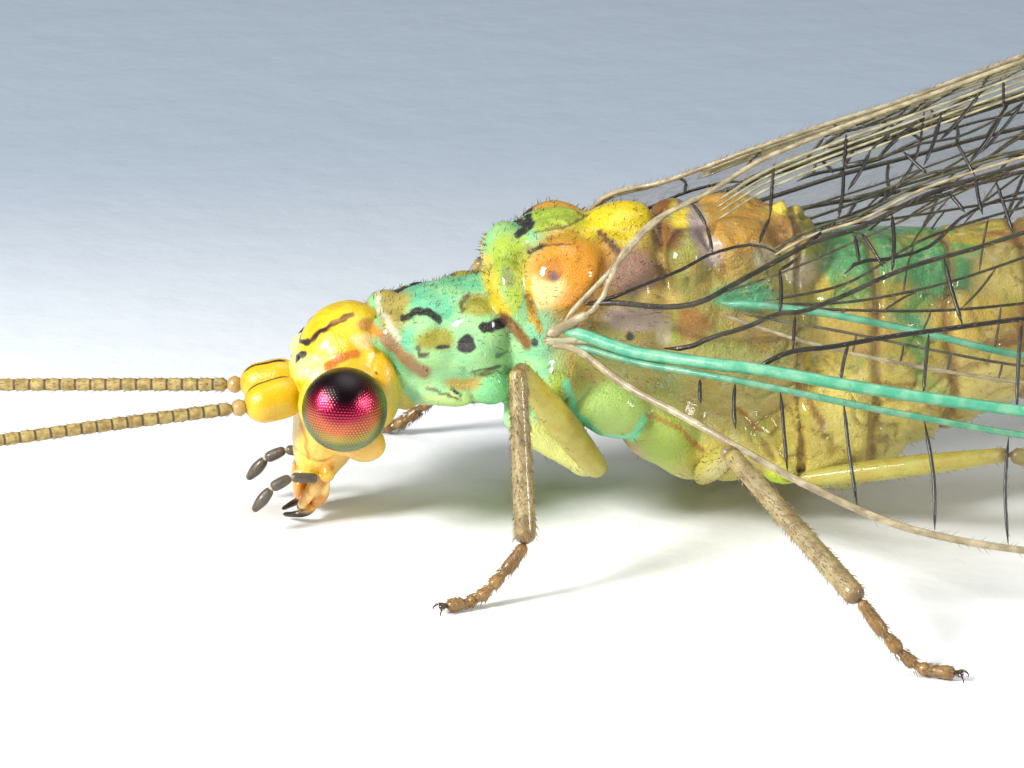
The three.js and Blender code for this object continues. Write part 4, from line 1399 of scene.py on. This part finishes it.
HINDWING = [
    (1.3, 0.74, 0.95),
    (1.9, 0.62, 1.3),
    (2.6, 0.54, 1.74),
    (4, 0.46, 2.55),
    (6, 0.42, 3.3),
    (8, 0.38, 3.72),
    (10, 0.34, 3.62),
    (12, 0.3, 2.9),
    (13.4, 0.36, 1.7),
    (14.05, 0.6, 0.84),
]
HIND_DEPTH = 0.45  # how far the hindwing lies inside the forewing
TUCK = 0.14  # how far the right wings' upper edges lie further in and lower than the left ones


def roof(u, v, out, side):
    """A point of a wing's slope: u along it, v up from the radius, out from its surface."""
    slope = math.radians(read(ROOF, u, 3))
    front, hind = read(FOREWING, u, 1), read(FOREWING, u, 2)
    share = min(max((v - front) / (hind - front), 0), 1)
    rise = out + read(ROOF, u, 4) * math.sin(math.pi * share)
    across = read(ROOF, u, 1) - v * math.cos(slope) + rise * math.sin(slope)
    up = read(ROOF, u, 2) + v * math.sin(slope) + rise * math.cos(slope)
    if side == RIGHT:
        tuck = min(u / 3, 1) * TUCK * share
        across -= tuck
        up -= tuck * 0.8
    return Vector((WING_ROOT_X + u, side * max(across, 0.02), up))


BLACK_VEIN, GREY_VEIN, GREEN_VEIN, PALE_VEIN = 0.0, 0.33, 0.66, 1.0


def vein_finish():
    finish = Finish("vein", Roughness=0.35, Coat_Weight=0.15)
    tint = finish.attribute("tint")
    place = finish.place()
    cloud = finish.noise(place, 7.0, 4.0)
    cloud = finish.step(cloud, 0.35, 0.65)
    black = finish.mix(cloud, (0.004, 0.003, 0.002), (0.016, 0.011, 0.006))
    grey = finish.mix(cloud, (0.035, 0.035, 0.015), (0.11, 0.1, 0.05))
    green = finish.mix(cloud, (0.06, 0.32, 0.18), (0.17, 0.42, 0.25))
    pale = finish.mix(cloud, (0.26, 0.2, 0.11), (0.44, 0.37, 0.22))
    color = finish.mix(finish.step(tint, 0.05, 0.3), black, grey)
    color = finish.mix(finish.step(tint, 0.38, 0.6), color, green)
    color = finish.mix(finish.step(tint, 0.72, 0.95), color, pale)
    fine = finish.noise(place, 50.0, 3.0)
    return finish.set(Base_Color=color, Normal=finish.bump(fine, 0.006))


def membrane_finish():
    """Clear glossy film: mostly see-through, with a faint play of colour."""
    finish = Finish("wing_membrane", Roughness=0.12, IOR=1.5)
    place = finish.place()
    cloud = finish.noise(place, 1.6, 3.0)
    color = finish.mix(cloud, (0.3, 0.28, 0.2), (0.46, 0.44, 0.36))
    ripple = finish.noise(place, 3.5, 3.0)
    finish.set(Base_Color=color, Normal=finish.bump(ripple, 0.09))
    finish.shader.inputs["Thin Film Thickness"].default_value = 380
    clear = finish.node("ShaderNodeBsdfTransparent", None, {0: (1, 1, 1, 1)})
    glance = finish.node("ShaderNodeLayerWeight", None, {"Blend": 0.25}, 0)
    share = 0.022 + 0.4 * glance
    film = Socket(finish, finish.shader.outputs[0])
    mixed = finish.node("ShaderNodeMixShader", None, {0: share, 1: clear, 2: film})
    finish.feed(finish.output.inputs[0], mixed)
    return finish.material


FORE_LINES = {
    # each vein's points (along the wing, above the radius), its radius and its tint
    "costa": ([(-0.3, -0.01), *((u, front) for u, front, _ in FOREWING)], 0.036, PALE_VEIN),
    "root plate": ([(-0.26, 0.06), (-0.05, 0.16), (0.12, 0.27)], 0.055, PALE_VEIN),
    "root arm": ([(-0.3, 0.0), (-0.1, 0.0), (0.2, 0.02)], 0.045, 0.9),
    "subcosta": (
        [(-0.05, -0.04), (0.19, -0.07), (0.69, -0.13), (1.52, -0.14), (2.65, -0.16), (3.75, -0.19), (6, -0.24),
         (9, -0.26), (12, -0.32), (13.6, -0.5)],
        0.034, 0.52),
    "radius": (
        [(-0.12, 0.08), (0.11, 0.05), (0.47, -0.02), (0.94, -0.03), (1.53, 0.01), (2.23, 0.02), (3.77, 0.03),
         (6, 0.02), (9, 0.0), (12, -0.05), (14, -0.1), (15.1, 0.0)],
        0.06, GREEN_VEIN),
    "sector": (
        [(1.5, 0.03), (1.8, 0.24), (2.12, 0.35), (2.56, 0.52), (3.0, 0.66), (3.84, 0.89),
         (5, 1.1), (6.5, 1.2), (8, 1.15), (10, 1.0), (12, 0.75), (14, 0.4), (15.1, 0.12)],
        0.024, 0.04),
    "media": (
        [(0.73, 0.05), (0.92, 0.09), (1.14, 0.24), (1.45, 0.41), (1.73, 0.6), (1.93, 0.66),
         (2.24, 0.85), (2.84, 1.24), (3.44, 1.51), (4.2, 1.82), (5.5, 2.1), (7, 2.25),
         (8.5, 2.2), (10, 2.0), (12, 1.5), (13.6, 0.95), (14.8, 0.4)],
        0.023, 0.13),
    "cubitus": (
        [(0.08, 0.34), (0.3, 0.4), (0.48, 0.42), (0.76, 0.45), (1.05, 0.56), (1.35, 0.8), (1.74, 1.12),
         (2.1, 1.4), (2.52, 1.62), (3.13, 2.03), (3.99, 2.4), (5, 2.75), (6.5, 3.15),
         (8, 3.3), (9.5, 3.2), (11, 2.8), (13, 1.85), (14.5, 0.85)],
        0.026, 0.12),
    "anal": (
        [(0.1, 0.36), (0.3, 0.44), (0.57, 0.61), (0.94, 0.87), (1.22, 1.11), (1.61, 1.28), (1.82, 1.2)],
        0.019, 0.02),
    "hind cubitus": (
        [(1.97, 1.3), (2.27, 1.61), (2.39, 1.71), (2.67, 1.87), (2.89, 2.1), (3.08, 2.43),
         (3.21, 2.96)],
        0.018, 0.05),
    "hind margin": ([(-0.12, 0.16), *((u, hind) for u, _, hind in FOREWING)], 0.024, 0.93),
    "inner margin": ([(u, hind - 0.14) for u, _, hind in FOREWING[3:13]], 0.016, 0.9),
    "root cord": (
        [(0.02, 0.2), (0.2, 0.36), (0.31, 0.61), (0.41, 0.84), (0.54, 1.03), (0.74, 1.31), (1.02, 1.58),
         (1.23, 1.74)],
        0.03, 0.97),
    "upper one": (
        [(2.45, 2.28), (2.74, 2.37), (2.95, 2.47), (3.16, 2.57), (3.41, 2.63), (3.75, 2.81),
         (4.06, 3.03), (4.5, 3.45)],
        0.015, 0.15),
    "upper two": (
        [(2.41, 1.89), (2.7, 2.01), (2.89, 2.11), (3.16, 2.25), (3.47, 2.35), (3.74, 2.47),
         (4.01, 2.54), (4.6, 2.75), (5.4, 3.2), (6.0, 3.9)],
        0.016, 0.2),
    "upper three": (
        [(2.81, 1.84), (3.32, 2.05), (3.44, 2.14), (3.73, 2.22), (3.98, 2.33), (4.7, 2.62)], 0.015, 0.1),
    "middle fork": (
        [(2.33, 1.11), (2.47, 1.26), (2.7, 1.32), (3.09, 1.5), (3.43, 1.85), (3.96, 2.12),
         (4.6, 2.24)],
        0.018, 0.04),
}
for number, gap in enumerate((0.2, 0.26, 0.33)):
    # the fine folds that run along the hind margin
    FORE_LINES[f"hem {number}"] = ([(u, hind - gap) for u, _, hind in FOREWING[3:13]], 0.012, 0.9)
for number, (gap, tint) in enumerate(((0.07, 0.96), (0.13, 0.4))):
    # the pale and grey bands that run along the cubitus
    points = [(u, v + gap) for u, v in FORE_LINES["cubitus"][0][6:14]]
    FORE_LINES[f"band {number}"] = (points, 0.017, tint)
FORE_CROSSES = [
    # the ends of each cross vein near the root
    ((1.01, -0.19), (1.0, -0.42)),
    ((1.3, -0.17), (1.27, -0.6)),
    ((1.68, -0.16), (1.68, -0.9)),
    ((2.21, -0.15), (2.25, -1.08)),
    ((2.89, -0.2), (2.9, -1.17)),
    ((3.61, -0.22), (3.53, -1.19)),
    ((1.22, 1.12), (1.2, 1.4)),
    ((1.2, 1.4), (1.1, 1.62)),
    ((1.63, 1.3), (1.75, 1.59)),
    ((1.75, 1.59), (1.85, 2.2)),
    ((1.87, 0.61), (1.82, 0.26)),
    ((1.94, 1.2), (1.78, 1.05)),
    ((1.78, 1.05), (1.74, 0.6)),
    ((2.5, 2.6), (2.44, 2.24)),
    ((2.44, 2.24), (2.33, 1.66)),
    ((2.45, 2.0), (2.69, 2.45)),
    ((2.69, 2.45), (2.9, 2.66)),
    ((2.74, 2.37), (3.19, 2.84)),
    ((3.29, 2.6), (3.71, 3.13)),
    ((3.63, 2.49), (4.06, 3.03)),
    ((3.43, 2.61), (3.56, 2.25)),
    ((3.56, 2.25), (3.58, 1.87)),
    ((3.73, 2.22), (3.83, 1.68)),
    ((3.32, 2.05), (3.43, 1.88)),
    ((2.97, 2.46), (3.16, 2.23)),
    ((3.35, 2.91), (3.13, 2.33)),
    ((2.46, 1.52), (2.47, 1.26)),
    ((2.52, 1.56), (2.67, 1.24)),
    ((3.91, 3.26), (3.88, 2.94)),
    ((3.88, 2.94), (3.5, 2.36)),
    ((2.9, 0.05), (3.0, 0.64)),
    ((2.2, 0.04), (2.3, 0.42)),
    ((2.74, 1.2), (2.8, 1.8)),
    ((3.2, 1.4), (3.3, 0.76)),
]


def vein(bm, points, radius, tint, out, side, steps):
    """One vein on a wing's surface, from points along and across it."""
    flat = smooth_path([(u, v, 0) for u, v in points], steps)
    path = [roof(p.x, p.y, out, side) for p in flat]
    tints = tint if callable(tint) else lambda s: tint
    size = radius if callable(radius) else lambda s: radius * (1 - 0.35 * s)
    tube(bm, path, size, 7, layers={"tint": tints})


def crosses_between(lower, upper, start, end, spacing, slant):
    """Cross veins between two long veins beyond the wing's root."""
    u = start
    result = []
    while u < end:
        result.append(((u, read(lower, u)), (u + slant, read(upper, u + slant))))
        u += spacing * rng.uniform(0.88, 1.12)
    return result


def fore_net():
    """The forewing's cross veins beyond the stretch that the photo shows."""
    lines = {name: points for name, (points, _, _) in FORE_LINES.items()}
    net = crosses_between(lines["costa"], lines["subcosta"], 4.15, 13.4, 0.5, 0.06)
    net += crosses_between(lines["radius"], lines["sector"], 3.7, 14.4, 0.72, 0.12)
    net += crosses_between(lines["media"], lines["cubitus"], 4.1, 13.8, 0.66, 0.12)
    branches = crosses_between(lines["sector"], lines["media"], 3.9, 13.2, 0.62, 0.62)
    net += branches
    for a, b in zip(branches, branches[1:]):
        for share in (0.38, 0.7):
            ends = [tuple(Vector(p).lerp(Vector(q), share + push))
                    for (p, q), push in ((a, 0.06), (b, -0.06))]
            net.append(tuple(ends))
    fans = crosses_between(lines["cubitus"], lines["hind margin"], 4.4, 13.6, 0.5, 0.55)
    for low_end, high_end in fans:
        fork = Vector(low_end).lerp(Vector(high_end), 0.62)
        net.append((low_end, tuple(fork)))
        net.append((tuple(fork), high_end))
        split = min(high_end[0] + 0.3, 15.0)
        net.append((tuple(fork), (split, read(lines["hind margin"], split))))
    for a, b in zip(fans, fans[1:]):
        ends = [tuple(Vector(p).lerp(Vector(q), share)) for (p, q), share in ((a, 0.4), (b, 0.34))]
        net.append(tuple(ends))
    return net


def hind_lines():
    """The hindwing's long veins, from its margins and its own radius."""
    front = [(u, f) for u, f, _ in HINDWING]
    hind = [(u, h) for u, _, h in HINDWING]
    radius = [(1.31, 0.86), (1.65, 0.9), (2.15, 0.92), (2.93, 0.86), (3.89, 0.72), (6, 0.64),
              (9, 0.58), (12, 0.5), (14, 0.62)]
    subcosta = [(1.5, 0.78), (2.3, 0.76), (3.2, 0.68), (3.75, 0.63), (6, 0.55), (9, 0.49),
                (12, 0.4), (13.2, 0.36)]

    def between(share):
        """A vein at a share of the way from the radius to the hind margin."""
        us = [1.7, 2.4, 3.2, 4.5, 6, 8, 10, 12, 13.4]
        return [(u, read(radius, u) + share(u) * (read(hind, u) - read(radius, u))) for u in us]

    return {
        "costa": (front, 0.018, 0.94),
        "subcosta": (subcosta, 0.014, GREY_VEIN),
        "radius": (radius, 0.036, GREEN_VEIN),
        "sector": (between(lambda u: min(0.3, 0.12 * (u - 1.5))), 0.014, 0.14),
        "media": (between(lambda u: min(0.56, 0.22 * (u - 1.4))), 0.014, 0.16),
        "cubitus": (between(lambda u: min(0.78, 0.4 * (u - 1.2))), 0.014, 0.2),
        "hind margin": (hind, 0.011, 0.3),
    }


def hind_net():
    lines = {name: points for name, (points, _, _) in hind_lines().items()}
    net = crosses_between(lines["costa"], lines["subcosta"], 2.4, 12.8, 0.45, 0.05)
    net += crosses_between(lines["radius"], lines["sector"], 2.3, 13.0, 0.66, 0.1)
    net += crosses_between(lines["sector"], lines["media"], 2.7, 12.8, 0.62, 0.36)
    net += crosses_between(lines["media"], lines["cubitus"], 2.9, 12.8, 0.62, 0.14)
    net += crosses_between(lines["cubitus"], lines["hind margin"], 3.0, 12.6, 0.46, 0.4)
    return net


def bowed(start, end):
    """A cross vein's points, bent a little to one side."""
    a, b = Vector(start), Vector(end)
    run = b - a
    push = Vector((-run.y, run.x)) * rng.uniform(-0.035, 0.035)
    return [tuple(a), tuple(a.lerp(b, 0.5) + push), tuple(b)]


def build_wing(name, outline, lines, net, depth, label, veins, film):
    side = SIDES[label]
    bm = bmesh.new()
    start, end = outline[0][0], outline[-1][0]

    def place(s, t):
        u = start + (end - start) * s
        front, hind = read(outline, u, 1), read(outline, u, 2)
        return roof(u, front + (hind - front) * t, -depth, side)

    sheet(bm, 110, 34, place)
    bmesh.ops.recalc_face_normals(bm, faces=bm.faces)
    finish_piece(bm, f"{name}_{label}_film", film, [f"{name}_{label}"])

    bm = bmesh.new()
    for line, (points, radius, tint) in lines.items():
        steps = max(12, round(8 * (points[-1][0] - points[0][0])))
        vein(bm, points, radius, tint, 0.006 - depth, side, steps)
    for a, b in net:
        shade = rng.uniform(0, 0.12) + depth * 0.4
        thin = rng.uniform(0.015, 0.019) * (1 - depth * 0.8)
        tint = lambda s, shade=shade: shade
        vein(bm, bowed(a, b), lambda s, thin=thin: thin, tint, 0.008 - depth, side, 6)
    close(bm)
    finish_piece(bm, f"{name}_{label}_veins", veins)
    build_wing_hairs(f"{name}_{label}", lines, net, depth, side)


def build_wing_hairs(name, lines, net, depth, side):
    """Short hairs along the veins, thickest on the margins."""
    roots, directions, lengths = [], [], []
    tracks = []
    for line, (points, radius, _) in lines.items():
        margin = line in ("costa", "hind margin", "inner margin")
        spacing = 0.028 if margin else 0.07
        tracks.append((points, radius, spacing, 0.09 if margin else 0.07))
    tracks += [([a, b], 0.013, 0.09, 0.06) for a, b in net]
    for points, radius, spacing, length in tracks:
        run = sum((Vector(b) - Vector(a)).length for a, b in zip(points, points[1:]))
        count = max(2, round(run / spacing))
        flat = smooth_path([(u, v, 0) for u, v in points], count)
        for k in range(count):
            p, q = flat[k], flat[k + 1]
            here = roof(p.x, p.y, -depth, side)
            ahead = (roof(q.x, q.y, -depth, side) - here).normalized()
            out = roof(p.x, p.y, 0.1 - depth, side) - roof(p.x, p.y, -depth, side)
            out.normalize()
            across = ahead.cross(out)
            angle = rng.uniform(0, math.pi)
            stand = math.cos(angle) * across + math.sin(angle) * out
            roots.append(here + stand * radius * 0.7)
            directions.append(stand + ahead * 0.9)
            lengths.append(length * rng.uniform(0.6, 1.2))
    mesh = hairs(roots, directions, lengths, 0.006, 0.12)
    finish_mesh(mesh, f"{name}_hairs", TAN_HAIR)


def build_wings():
    veins, film = vein_finish(), membrane_finish()
    fore = FORE_CROSSES + fore_net()
    hind = hind_net()
    for label in SIDES:
        build_wing("forewing", FOREWING, FORE_LINES, fore, 0.0, label, veins, film)
        build_wing("hindwing", HINDWING, hind_lines(), hind, HIND_DEPTH, label, veins, film)


# Floor, light and camera

def build_floor():
    bm = bmesh.new()
    bmesh.ops.create_grid(bm, x_segments=8, y_segments=8, size=0.6)
    mesh = bpy.data.meshes.new("floor")
    bm.to_mesh(mesh)
    bm.free()
    finish = Finish("floor_paper", Roughness=0.7)
    place = finish.place(mirrored=False)
    x, y, z = finish.parts(place)
    # painted fall-off of light: near white close to the insect, darker blue-grey further back
    far = finish.step(y, -2.0, 12.0)
    color = finish.mix(far, (0.92, 0.92, 0.91), (0.33, 0.38, 0.44))
    fibre = finish.noise(place, 1.4, 6.0)
    finish.set(Base_Color=color, Normal=finish.bump(fibre, 0.03))
    mesh.materials.append(finish.material)
    floor = bpy.data.objects.new("floor", mesh)
    bpy.context.scene.collection.objects.link(floor)


def lamp(name, place, aim, size, power, color=(1, 1, 1)):
    light = bpy.data.lights.new(name, "AREA")
    light.energy = power
    light.size = size * MM
    light.color = color
    holder = bpy.data.objects.new(name, light)
    bpy.context.scene.collection.objects.link(holder)
    holder.location = (Vector(place) + Vector((SHIFT, 0, 0))) * MM
    direction = Vector(aim) - Vector(place)
    holder.rotation_euler = direction.to_track_quat("-Z", "Y").to_euler()


def build_lights():
    """Two small soft lamps that the eyes mirror, and a wide weak one above."""
    near_eye = on_side(EYE, LEFT)
    lamp("key", near_eye + Vector((-0.754, -0.35, 0.558)) * 45, near_eye, 12, 0.038)
    lamp("second", near_eye + Vector((0.749, -0.537, 0.394)) * 45, near_eye, 9, 0.012)
    lamp("fill", (6, 8, 60), (2, 0, 0), 40, 0.014, (0.94, 0.97, 1))
    world = bpy.data.worlds.new("studio")
    bpy.context.scene.world = world
    world.use_nodes = True
    world.node_tree.nodes["Background"].inputs[0].default_value = (0.8, 0.9, 1, 1)
    world.node_tree.nodes["Background"].inputs[1].default_value = 0.2


CAMERA_TURN = math.radians(6)  # towards the front of the insect
CAMERA_RISE = math.radians(20)
CAMERA_DISTANCE = 55.0
CAMERA_AIM = (0, 0, 1.22)
PIXELS_PER_MM = 110
PHOTO_WIDTH = 1024
SENSOR = 36


def build_camera():
    flat = math.cos(CAMERA_RISE)
    look = Vector((math.sin(CAMERA_TURN) * flat, math.cos(CAMERA_TURN) * flat, -math.sin(CAMERA_RISE)))
    camera = bpy.data.cameras.new("camera")
    camera.sensor_width = SENSOR
    camera.lens = PIXELS_PER_MM * CAMERA_DISTANCE / PHOTO_WIDTH * SENSOR
    camera.clip_start = 0.001
    camera.clip_end = 10
    holder = bpy.data.objects.new("camera", camera)
    bpy.context.scene.collection.objects.link(holder)
    aim = Vector(CAMERA_AIM) + Vector((SHIFT, 0, 0))
    holder.location = (aim - look * CAMERA_DISTANCE) * MM
    holder.rotation_euler = look.to_track_quat("-Z", "Y").to_euler()
    bpy.context.scene.camera = holder


bpy.context.scene.view_settings.view_transform = "Standard"
build_camera()
build_floor()
build_lights()
build_head()
build_eyes()
build_antennae()
build_mouth()
build_body()
build_legs()
build_wings()
